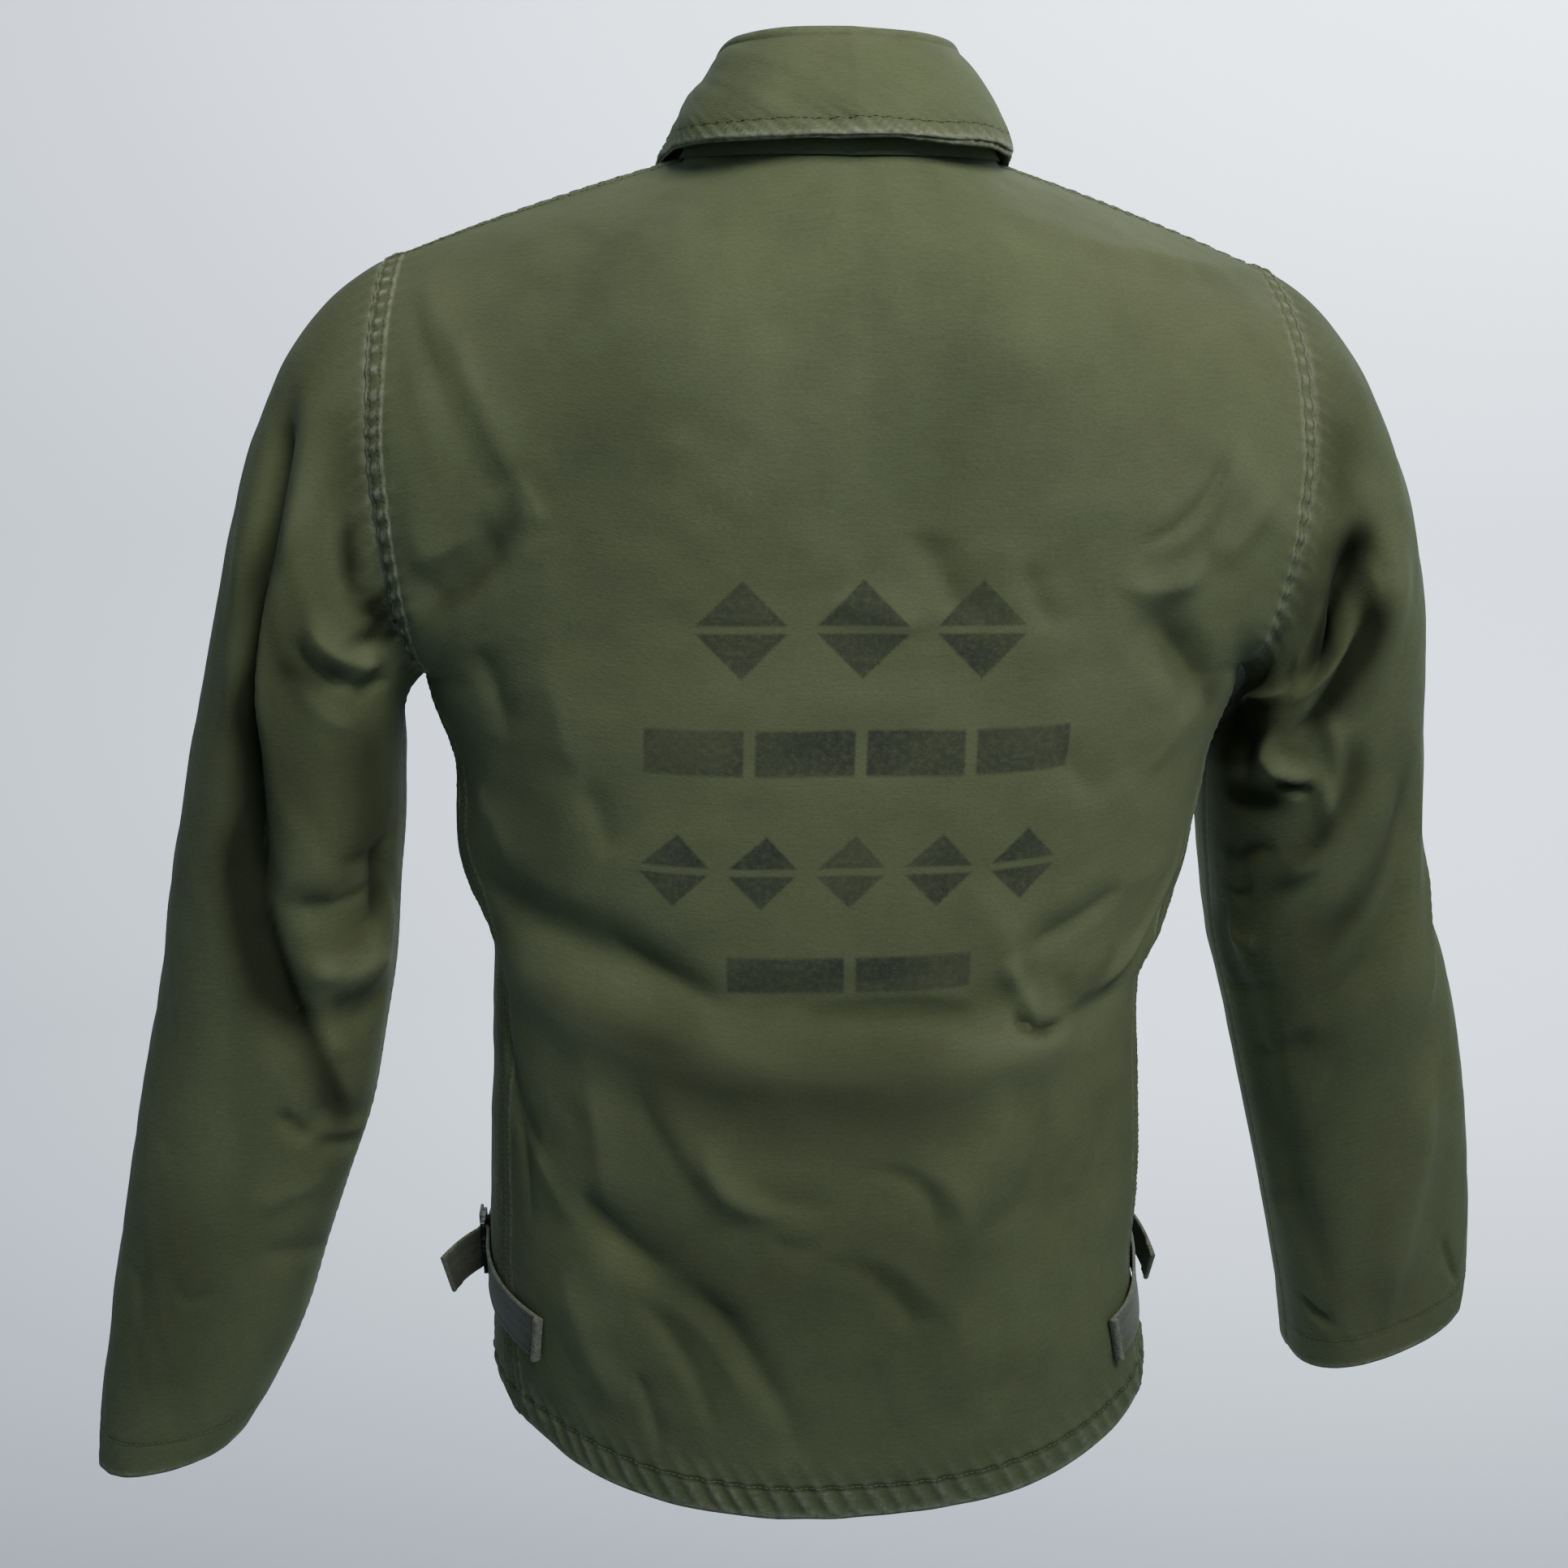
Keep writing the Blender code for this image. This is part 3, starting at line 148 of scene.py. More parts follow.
# Stage, lights and camera.
FLOOR_Z = -1.45
STAGE_RADIUS = 4.2
STAGE_CORNER = 1.0        # radius of the turn from floor to wall
STAGE_HEIGHT = 5.0
LIGHTS = (                # name, place, aim, size, power in watts and colour
    ("light_above", (-0.55, 1.22, 1.18), (-0.05, 0.1, -0.1), (1.1, 0.8), 26.5, (1.0, 0.995, 0.96)),
    ("light_front", (0.5, -1.5, 1.5), (0.0, -0.1, -0.2), (1.4, 1.0), 7.0, (1.0, 0.99, 0.97)),
    ("light_room", (-1.4, -1.6, 1.7), (-1.4, -4.2, 0.6), (3.0, 1.5), 840.0, (0.93, 0.96, 1.0)),
)
SKY_COLOUR = (0.86, 0.90, 0.96, 1.0)
SKY_STRENGTH = 0.05
PICTURE = 1932.0          # width and height of the picture, in its pixels
CAMERA_FOCUS = 2227.0     # focal length in the same pixels
SENSOR = 36.0             # width of the camera's sensor, millimetres
CAMERA_PLACE = (0.1078, 0.9342, -0.1170)
CAMERA_PITCH = 12.0
CAMERA_TURN = 175.0


def stack(x, y, z):
    x, y, z = np.broadcast_arrays(x, y, z)
    return np.stack([x, y, z], axis=-1).astype(float)


def cubic(start, end, leave, arrive, t):
    """Cubic from start to end with the given end slopes, where t runs 0 to 1."""
    return (
        start * (1 + 2 * t) * (1 - t) ** 2
        + end * t * t * (3 - 2 * t)
        + leave * t * (1 - t) ** 2
        - arrive * t * t * (1 - t)
    )


class Table:
    """Rows of numbers under named columns, read smoothly along the first column."""

    def __init__(self, names, *rows):
        self.names = names.split()
        self.rows = np.array(rows, dtype=float)

    def column(self, name):
        return self.rows[:, self.names.index(name)]

    def at(self, name, where):
        """Value of the named column where the first column is `where` (cubic, no overshoot)."""
        key = self.rows[:, 0]
        value = self.column(name)
        where = np.clip(where, key[0], key[-1])
        step = np.diff(key)
        rate = np.diff(value) / step
        slope = np.zeros_like(value)
        slope[0] = rate[0]
        slope[-1] = rate[-1]
        same = rate[:-1] * rate[1:] > 0
        total = np.where(same, rate[:-1] + rate[1:], 1.0)
        slope[1:-1] = np.where(same, 2.0 * rate[:-1] * rate[1:] / total, 0.0)
        i = np.clip(np.searchsorted(key, where) - 1, 0, len(step) - 1)
        t = (where - key[i]) / step[i]
        return cubic(value[i], value[i + 1], step[i] * slope[i], step[i] * slope[i + 1], t)

    def point(self, where, prefix=""):
        """Point from the columns x, y and z, or from those with a prefix."""
        return stack(*(self.at(prefix + axis, where) for axis in "xyz"))


# Level sections of the body, hem to underarm: half width, middle (off the centre line), reach to
# back and front, squareness, and the side seam in degrees from centre back.
BODY = Table(
    "z       half    mid     back    front   bulge  seam",
    (-0.680, 0.1735, 0.0020, 0.121, -0.124, 0.84, 68.0),
    (-0.640, 0.1775, 0.0020, 0.124, -0.127, 0.84, 68.0),
    (-0.600, 0.1800, 0.0060, 0.124, -0.127, 0.83, 68.5),
    (-0.560, 0.1790, 0.0085, 0.122, -0.126, 0.83, 69.0),
    (-0.500, 0.1765, 0.0090, 0.118, -0.123, 0.83, 70.0),
    (-0.450, 0.1735, 0.0092, 0.115, -0.121, 0.82, 71.0),
    (-0.415, 0.1725, 0.0088, 0.113, -0.121, 0.82, 71.5),
    (-0.385, 0.1780, 0.0040, 0.112, -0.122, 0.81, 72.0),
    (-0.345, 0.1920, 0.0050, 0.113, -0.125, 0.80, 74.0),
    (-0.300, 0.1955, 0.0010, 0.116, -0.129, 0.80, 77.0),
    (-0.250, 0.2095, 0.0000, 0.118, -0.131, 0.80, 80.0),
    (-0.200, 0.2120, 0.0000, 0.120, -0.131, 0.80, 82.0),
)

# Shoulder seam, neck point to tip.
SHOULDER = Table(
    "share  x       y       z",
    (0.00, NECK_HALF, 0.0100, -0.0020),
    (0.30, 0.1210, 0.0070, -0.0150),
    (0.65, 0.1720, 0.0020, -0.0315),
    (1.00, SHOULDER_X, SHOULDER_Y, SHOULDER_Z),
)

# How squarely the cloth turns over the shoulders across a half panel, and how far forward (or
# back, on the fronts) it leans as it reaches its top edge.
TURNOVER = Table(
    "share  fullness  lean_back  lean_front",
    (0.00, 1.10, 0.60, 0.45),
    (0.08, 1.20, 0.74, 0.55),
    (0.17, 1.38, 0.91, 0.78),
    (0.25, 1.50, 0.965, 0.90),
    (0.50, 1.45, 0.96, 0.95),
    (0.80, 1.20, 0.96, 0.95),
    (1.00, 1.00, 0.96, 0.95),
)

# Shape the upper panels keep until they near the neckline and shoulder seam.
TOP_BACK = Table(
    "share  x       y       z",
    (0.00, 0.0000, 0.0840, -0.0080),
    (0.12, 0.0440, 0.0760, -0.0085),
    (0.25, NECK_HALF, 0.0560, -0.0110),
    (0.50, 0.1260, 0.0220, -0.0200),
    (0.75, 0.1760, 0.0060, -0.0330),
    (1.00, SHOULDER_X, SHOULDER_Y, SHOULDER_Z),
)
TOP_FRONT = Table(
    "share  x       y       z",
    (0.00, 0.0000, -0.0880, -0.0600),
    (0.12, 0.0440, -0.0800, -0.0480),
    (0.25, NECK_HALF, -0.0560, -0.0320),
    (0.50, 0.1260, -0.0200, -0.0280),
    (0.75, 0.1760, -0.0080, -0.0360),
    (1.00, SHOULDER_X, SHOULDER_Y, SHOULDER_Z),
)

# Height of the neckline, degrees from centre back.
NECKLINE = Table(
    "turn    z",
    (0.0, -0.0080),
    (45.0, -0.0060),
    (90.0, -0.0020),
    (125.0, -0.0220),
    (155.0, -0.0480),
    (180.0, -0.0600),
)

# Level rings of the sleeves below the head; x is distance from the centre line. `rise` lifts the
# inner side of a ring above its outer side.
SLEEVE_COLUMNS = "down   z       inner   outer   y       depth   rise"
SLEEVE_LEFT = Table(
    SLEEVE_COLUMNS,
    (0.00, -0.2760, 0.2230, 0.3185, 0.0060, 0.0740, -0.0420),
    (0.08, -0.3180, 0.2245, 0.3300, 0.0070, 0.0720, -0.0240),
    (0.18, -0.3600, 0.2280, 0.3405, 0.0085, 0.0680, -0.0080),
    (0.28, -0.4000, 0.2310, 0.3480, 0.0100, 0.0640, 0.0000),
    (0.38, -0.4400, 0.2380, 0.3565, 0.0120, 0.0600, 0.0000),
    (0.48, -0.4800, 0.2460, 0.3655, 0.0140, 0.0570, 0.0000),
    (0.58, -0.5200, 0.2600, 0.3735, 0.0160, 0.0550, 0.0000),
    (0.68, -0.5600, 0.2740, 0.3805, 0.0180, 0.0530, 0.0000),
    (0.78, -0.5950, 0.2850, 0.3870, 0.0190, 0.0520, 0.0020),
    (0.89, -0.6280, 0.2995, 0.3930, 0.0200, 0.0510, 0.0060),
    (1.00, -0.6590, 0.3160, 0.3970, 0.0210, 0.0500, 0.0140),
)
SLEEVE_RIGHT = Table(
    SLEEVE_COLUMNS,
    (0.00, -0.2780, 0.2060, 0.3150, -0.0120, 0.0740, -0.0540),
    (0.08, -0.3200, 0.2090, 0.3200, -0.0180, 0.0720, -0.0400),
    (0.18, -0.3600, 0.2140, 0.3260, -0.0230, 0.0680, -0.0280),
    (0.28, -0.4000, 0.2200, 0.3360, -0.0260, 0.0640, -0.0240),
    (0.38, -0.4400, 0.2310, 0.3510, -0.0280, 0.0600, -0.0240),
    (0.48, -0.4800, 0.2415, 0.3620, -0.0300, 0.0570, -0.0260),
    (0.58, -0.5200, 0.2525, 0.3710, -0.0320, 0.0550, -0.0300),
    (0.68, -0.5580, 0.2625, 0.3765, -0.0335, 0.0530, -0.0340),
    (0.78, -0.5920, 0.2710, 0.3800, -0.0350, 0.0520, -0.0380),
    (0.89, -0.6250, 0.2785, 0.3825, -0.0360, 0.0510, -0.0410),
    (1.00, -0.6560, 0.2835, 0.3830, -0.0370, 0.0500, -0.0440),
)

# Folds run from a0, z0 to a1, z1: degrees from centre back (left is +) and height. `bow` bends the
# line sideways; `one` and `other` are how far the fold spreads to its two sides. Millimetres.
MM = 0.001
FOLD_COLUMNS = "a0 z0 a1 z1 bow one other height"
FOLD_UNITS = np.array([1.0, MM, 1.0, MM, MM, MM, MM, 1.0])

# Large folds of the body.
BODY_FOLDS = Table(
    FOLD_COLUMNS,
    (72, -55.5, 40, -166.4, 1.5, 10, 16, 6),
    (70, -61.6, 46, -165, 6.3, 10, 12, -3),
    (74.4, -214.2, 43.2, -170.2, 2.6, 12, 14, -5),
    (-58.6, -120, -32.4, -186.1, -10.8, 14, 26, 3.5),
    (-34, -207.2, -52.6, -272.3, 0.4, 12, 20, -6),
    (76, -348, 13.3, -405.5, -7.7, 12, 18, -6.5),
    (22, -405.5, -34, -417.5, -6, 12, 18, -4),
    (-70, -337.6, -29.5, -421, -25.6, 10, 18, -8.5),
    (84, -370, -12, -446, 6.4, 19, 18, 6.5),
    (10, -446, -82, -370, 13.8, 19, 18, 6.5),
    (56.4, -508.2, 10.6, -618.2, -33.8, 14, 16, -4.5),
    (29, -439.5, 6.8, -507.5, 8.7, 14, 16, 3.5),
    (-41.5, -494.5, -12.4, -578.8, 0.5, 20, 16, -3),
    (-52, -587, -132, -562, 0, 40, 36, -7),
    (52, -632, 128, -616, 0, 18, 22, 5),
    (104, -270, 158, -360, 14, 16, 20, -6),
    (-104, -280, -150, -380, -10, 20, 16, -6),
    (96, -380, 165, -410, -20, 20, 16, 6.5),
    (-96, -385, -165, -420, 22, 16, 20, 6.5),
    (110, -440, 150, -600, 12, 18, 18, -4.5),
    (-112, -450, -148, -610, -12, 18, 18, -4.5),
)

# Large folds of the sleeves. Angles: 0 back, 90 outer side, 180 front, -90 inner side.
FOLDS_LEFT = Table(
    FOLD_COLUMNS,
    (70.5, -93.1, 13.5, -261.6, -10.2, 11, 11, -7),
    (16, -250, -32, -449, 8.7, 12, 11, -6.5),
    (0, -221.6, -52.5, -240.5, 8.6, 11, 10, 6),
    (-1, -357.1, -80, -366.5, 7.9, 11, 11, -5),
    (-6.5, -386.2, -84, -393.2, 5.7, 11, 11, 5),
    (-9.5, -412, -78, -418, 5.3, 11, 11, -4.5),
    (-24.5, -454, -88, -484, 11.4, 12, 12, -4.5),
    (150, -300, 250, -360, 10, 14, 14, -6),
    (140, -400, 250, -440, 10, 14, 14, 6),
    (130, -470, 240, -500, 10, 14, 14, -5),
)
FOLDS_RIGHT = Table(
    FOLD_COLUMNS,
    (22, -160, -29.5, -272.8, -0.5, 11, 12, -8),
    (34, -170, -27.5, -287.7, 6.3, 11, 11, 6),
    (-50, -285.4, -14, -315, -9.2, 10, 10, 5),
    (-88, -286.8, -51.5, -310.4, 8.7, 11, 11, -5),
    (35.5, -266.9, -4, -483.4, 20.2, 12, 12, 4),
    (24, -471, -12.5, -642.9, 1.4, 12, 12, 4.5),
    (-67, -394.6, -43, -636.8, -11.4, 14, 14, -4),
    (150, -310, 250, -370, 10, 14, 14, -6),
    (140, -400, 250, -440, 10, 14, 14, 6),
    (130, -480, 240, -510, 10, 14, 14, -5),
)

# Fine creases: of the body, then of each sleeve; columns as for the large folds.
BODY_CREASES = Table(
    FOLD_COLUMNS,
    (73.2, -50.9, 41, -166.4, -0.8, 7, 7, 1.5),
    (57.6, -85.3, 49, -128.4, 1.3, 4, 6, -0.4),
    (46, -148.6, 40, -175.5, -0.7, 12, 4, 1.2),
    (44.2, -162.9, 71, -218.9, -9.1, 6, 6, -2.6),
    (51.4, -174.2, 72, -193.4, -2.3, 8, 10, 2.2),
    (73.8, -94.3, 62.2, -155.6, -6, 7, 8, 0.4),
    (-32.4, -186.1, -57.4, -123.2, 13.1, 4, 8, -3),
    (-28.8, -199.1, -50.6, -195.4, 7.7, 7, 10, 2.8),
    (-50.6, -195.4, -68.6, -150.3, 4.7, 8, 12, 2.2),
    (-36.6, -212.8, -65.3, -278.1, 1.2, 6, 12, -4),
    (-39.8, -245.4, -44.2, -302.3, -9.4, 10, 12, 1.5),
    (4.2, -9.1, -25, -23.2, -4.7, 6, 8, -2.2),
    (2, -31.1, -5.8, -31.2, 3.4, 6, 6, -1),
    (-17.4, -39, -78.8, -49.7, 4.1, 5, 7, 1.8),
    (-20.4, -49.9, -69.4, -61.4, 0.7, 7, 8, -1.4),
    (-41.4, -94.1, -80, -55.9, 5.1, 6, 8, 1.2),
    (-4, -173.1, -9.4, -221.6, 0.3, 5, 8, -2.6),
    (1.8, -200.4, -4.8, -223.7, 1, 7, 10, 2.2),
    (-16.2, -186.9, -21.8, -225.2, 3.2, 5, 7, -1.8),
    (-12.6, -173.5, -12.8, -218.2, -4.5, 7, 8, 1.2),
    (-22.2, -275, -33.7, -307.6, 1.2, 6, 8, -1.8),
    (56, -228.1, 51.1, -278.6, -8.3, 10, 14, -3),
    (39.6, -229.6, 37.6, -299.2, -2.3, 10, 12, 1.2),
    (36.5, -291, 29.8, -329.9, 1.7, 8, 10, -2),
    (69.1, -304.2, 53.2, -343.6, -8.1, 12, 12, 1.6),
    (60.2, -52.8, 30.6, -72.2, 4.5, 8, 10, -1),
    (-15.4, -41, -19, -95.3, 3.9, 10, 14, -0.8),
    (37.4, -370.2, 12, -406.5, 0.5, 4, 7, -3),
    (5.9, -404, -20.8, -410.3, -9.7, 4, 6, 1.6),
    (6.6, -414.2, -25.2, -425.4, -7.5, 4, 5, -1.4),
    (-24, -411.7, -37.5, -419.4, 5.5, 4, 4, -4.5),
    (-19.1, -380.8, -30.7, -414.3, 0.8, 5, 5, 3.6),
    (-22.7, -378.6, -43.8, -350.2, 3.1, 6, 8, -3.4),
    (-68.9, -330.4, -40.6, -417.8, -7.4, 6, 8, 3),
    (-11.1, -339.5, -24.9, -399.6, -3.1, 10, 8, 1.4),
    (71.7, -398.2, 44.1, -497.3, 21.2, 6, 10, -2.4),
    (44.1, -497.3, 21.6, -541.7, 5.8, 7, 7, -3),
    (21.6, -541.7, 7.7, -618.5, -9.3, 6, 8, -3),
    (58.4, -473.1, 40.2, -524.9, 3.7, 8, 10, 1.8),
    (47.3, -539.3, 34.1, -620.3, 2.1, 12, 14, 2.4),
    (31.5, -549, 18, -627.9, -10.7, 5, 8, -2.6),
    (27.2, -547.6, 12.1, -614.2, -10.2, 6, 6, 1.8),
    (18, -462.6, 3.7, -509.5, 13.7, 6, 8, 2.8),
    (30.6, -440, 15.5, -507.6, 2.3, 8, 8, -2),
    (11.2, -490.4, -1.7, -504.8, 3.1, 6, 6, -1.4),
    (-0.7, -483.3, -11.6, -532.3, -15.8, 5, 7, -2.6),
    (-5.8, -482.4, -16.6, -538.1, -14, 7, 8, 2),
    (1.7, -526.3, -10, -576.3, -3.5, 5, 7, -2.4),
    (-1.7, -525.3, -15, -571.9, -4.6, 6, 8, 1.6),
    (8.9, -515.8, -0.2, -518.8, 7.2, 5, 5, -1.4),
    (-32.3, -447.9, -16.7, -531.6, -17.3, 8, 10, -2.2),
    (-22.8, -439.7, -10.3, -519.4, -13.1, 12, 10, 1.6),
    (-23.9, -549.5, -18.1, -621.4, -4.7, 8, 10, -1.4),
    (-15.2, -554.2, -14, -624.2, -4.1, 8, 10, 1),
    (31.9, -587.3, 29.4, -640.7, -5, 5, 6, -1.6),
    (9.4, -587.5, 6.6, -640.9, -3.1, 5, 6, -1.4),
    (-1.5, -575.7, -4.3, -639.2, -2.6, 6, 6, -1.2),
    (41.3, -439.4, 36.4, -517.1, -3.3, 10, 12, 2),
    (66, -460.4, 57.1, -532.8, -9.1, 5, 6, -1.4),
    (-57.5, -460.9, -41, -569, 17.3, 12, 12, -1.2),
    (22.1, -398.1, -5.7, -443.2, 9.8, 10, 10, 1.2),
    (70, -61.6, 46, -165, 6.3, 10, 12, 2.4),
    (72, -55.5, 40, -166.4, 1.5, 10, 16, -4.6),
    (100, -120, 150, -190, 10, 6, 9, -3),
    (-102, -125, -148, -200, -10, 6, 9, -3),
    (98, -230, 140, -270, 6, 6, 8, 2.8),
    (-98, -225, -142, -280, -6, 6, 8, 2.8),
    (112, -300, 166, -330, 12, 6, 8, -2.6),
    (-110, -310, -168, -345, -14, 6, 8, -2.6),
    (105, -350, 160, -400, -12, 7, 9, 2.4),
    (-100, -345, -155, -395, 12, 7, 9, 2.4),
    (100, -420, 150, -450, 10, 5, 8, -3),
    (-104, -430, -158, -455, -10, 5, 8, -3),
    (120, -470, 165, -560, 8, 6, 8, 2),
    (-118, -480, -166, -555, -8, 6, 8, 2),
    (130, -540, 140, -630, 4, 6, 8, -1.8),
    (-132, -530, -144, -625, -4, 6, 8, -1.8),
    (160, -150, 172, -280, 4, 8, 8, 1.2),
    (-160, -160, -172, -290, -4, 8, 8, 1.2),
)
CREASES_LEFT = Table(
    FOLD_COLUMNS,
    (47, -112.3, 14.5, -204.7, -7.4, 6, 8, 3),
    (27.5, -128.8, -8.5, -182.5, -1.7, 4, 6, -3.5),
    (-8.5, -182.5, -46.5, -228.1, 2.6, 5, 6, -4),
    (-15, -195.9, -27, -202.4, 2.5, 4, 4, 3.5),
    (5, -221.5, -34.5, -252.2, 6, 5, 5, -3),
    (1, -212.3, -53, -238.7, 11, 6, 6, 3.5),
    (-6, -227.6, -63.5, -247.5, 11.8, 4, 4, -2.2),
    (-0.5, -234.9, -41.5, -272.7, 10, 5, 6, 1.6),
    (-25.5, -338.7, -78, -325.9, 4.4, 6, 6, -2),
    (-50, -335.1, -87.5, -380.6, -6, 5, 5, -1.2),
    (-2, -356, -70, -350, 5, 4, 6, -2),
    (-3, -367, -78, -364, 4.5, 5, 6, 1.3),
    (-9.5, -390, -74.5, -383, 6, 5, 5, 1.6),
    (-23.5, -399, -82, -391.3, -6.5, 4, 5, -1.5),
    (-23.5, -397, -49, -445, 5.1, 5, 5, 2.4),
    (-11.5, -463, -33.5, -483, 0.7, 4, 4, -3),
    (-29, -470, -88, -488, 6.4, 5, 5, 2.6),
    (-33.5, -483, -88, -499, 1, 4, 4, -2.2),
    (-6, -514, -53, -507, 0.3, 6, 8, 1.6),
    (-14.5, -537.3, -87.5, -555.3, 1, 6, 7, -2.2),
    (17, -385.8, -7, -545.4, -3.9, 8, 10, -1.8),
    (12, -561.9, -3.5, -555.3, 4.6, 4, 5, -1.4),
    (54, -547.4, 34, -587.1, -13, 6, 6, -1.2),
    (82.5, -112.2, 40.5, -314.9, -7, 12, 14, -1.5),
    (54.5, -119.7, 25.5, -216.3, -4.1, 8, 4.2, -6),
    (32, -190.4, 10.5, -292.3, -0.5, 12, 4.2, -9.5),
    (17, -257.9, 0, -365.1, -1.4, 14, 5.6, -9.6),
    (4.5, -332.5, -31, -441, 8.4, 14, 7.2, -6.2),
    (27, -190.1, 6.5, -292.2, -1.1, 4.2, 11, 3.5),
    (12, -257.7, -3, -365.4, -1.5, 5.6, 11, 3.4),
    (0.5, -332.3, -35, -437, 9.1, 7.2, 11, 3),
    (36, -119.5, 13, -193.7, -5.3, 6, 10, 2.2),
    (7.5, -156.3, -25.5, -211.4, 2.7, 4, 4, -4),
    (-24, -211.5, -21.5, -232.1, -14.9, 6, 6, -2.8),
    (-54, -329.9, -69.5, -377.9, 1.3, 6, 8, -4),
    (100, -110, 150, -230, 8, 6, 8, -3.5),
    (160, -180, 215, -260, 8, 5, 7, 3),
    (150, -300, 235, -320, 10, 5, 6, -3.5),
    (120, -350, 220, -390, 12, 6, 7, 2.8),
    (140, -410, 245, -420, 12, 5, 6, -3.2),
    (110, -440, 210, -480, 10, 6, 8, 2.4),
    (150, -520, 230, -540, 8, 5, 7, -2),
    (100, -560, 180, -610, 8, 6, 7, 1.4),
)
CREASES_RIGHT = Table(
    FOLD_COLUMNS,
    (47.5, -104.3, 26, -158.7, -8.4, 8, 10, -2),
    (27.5, -131.3, -24.5, -210, -0.4, 6, 7, -3),
    (-19, -214, -42, -256.5, 0, 6, 6, 2.4),
    (-38, -306.7, -16.5, -312.8, -1.8, 3, 4, -4.5),
    (-20.5, -263.6, -14, -334.2, 10.8, 6, 6, 2.8),
    (-15.5, -294.4, -42, -374.7, 13.2, 6, 6, 2),
    (16, -299, -21, -395.1, 13, 10, 10, 2),
    (41, -284.9, -34.5, -455.4, 22.2, 7, 9, -4.5),
    (59.5, -343.4, 23.5, -451.4, 2.9, 4, 5, 3),
    (32.5, -452.7, -11, -658.5, -4, 3, 5, 2.8),
    (-66.5, -365.9, -37, -346.2, 5.3, 4, 5, -3),
    (-73.5, -377.2, -52, -366.9, -6.8, 4, 4, -3),
    (-72, -395.9, -48.5, -399.5, -10.9, 6, 6, 2.6),
    (-88, -441, -41.5, -422.5, -5.3, 5, 6, -2.6),
    (-79, -477.3, -25, -448.8, -9.3, 5, 6, -2.4),
    (-9.5, -448.6, -74, -567.7, 8.5, 10, 10, -2),
    (-85, -573, -45.5, -553.4, -5.6, 5, 6, -1.6),
    (-70, -630, -39, -641.1, -3.8, 4, 4, -4),
    (24, -580.8, 44, -623, -4.6, 3, 4, -2.8),
    (-43.5, -226.8, -88, -271.3, -1.1, 5, 6, -5),
    (-88, -266.7, -37, -260.3, -3.9, 4, 4, 3),
    (17.5, -175, -34, -264, -1.7, 6, 8, -10),
    (9.5, -201, -33, -290, 6.2, 8, 4, -8),
    (14, -186.2, -39, -271, 12, 4, 4, 4.5),
    (-48, -283.3, -17.5, -306.8, -9, 5, 4, 4.5),
    (-16.5, -298.7, -43.5, -372.1, 21.6, 6, 6, 3),
    (-2.5, -281.2, -25, -360.2, 10.2, 6, 6, -4),
    (33.5, -284.1, -30, -424.7, 14.1, 8, 10, -3.5),
    (19.5, -135.5, -25.5, -206, 1.4, 6, 8, -2.5),
    (105, -115, 155, -230, 8, 6, 8, -3.5),
    (155, -190, 215, -265, 8, 5, 7, 3),
    (145, -310, 235, -330, 10, 5, 6, -3.5),
    (120, -355, 225, -395, 12, 6, 7, 2.8),
    (140, -420, 245, -430, 12, 5, 6, -3.2),
    (110, -450, 215, -490, 10, 6, 8, 2.4),
    (145, -530, 230, -550, 8, 5, 7, -2),
    (100, -565, 180, -620, 8, 6, 7, 1.4),
)

# Painted shade: dark colour laid where shade falls, in fold hollows and over broad shaded areas:
# of the body, then of each sleeve; the last column is a share.
BODY_PAINTED_SHADE = Table(
    FOLD_COLUMNS,
    (76.8, -225.5, 44.8, -177.6, 7.6, 6, 7, 0.45),
    (77.6, -209.8, 78.8, -254.3, 0.8, 8, 12, 0.45),
    (-33.2, -189.8, -56, -142.3, 14.1, 6, 8, 0.2),
    (-36.6, -217.2, -66.9, -280.7, 1.3, 8, 14, 0.35),
    (61.8, -389.2, 13.6, -425.9, 2.4, 7, 10, 0.35),
    (-24.4, -413.1, -35.2, -420.1, 3.3, 4, 4, 0.6),
    (-28.6, -384.3, -47.9, -370.3, 26.3, 8, 10, 0.3),
    (41.4, -418.5, -27.6, -433.3, 15.7, 34, 40, 0.42),
    (37.4, -538.7, -27.3, -555.9, 1.7, 50, 50, 0.3),
    (50, -260, 38, -370, 0, 35, 32, 0.24),
    (100, -210, 130, -300, 4, 10, 10, 0.35),
    (-100, -210, -130, -300, -4, 10, 10, 0.35),
)
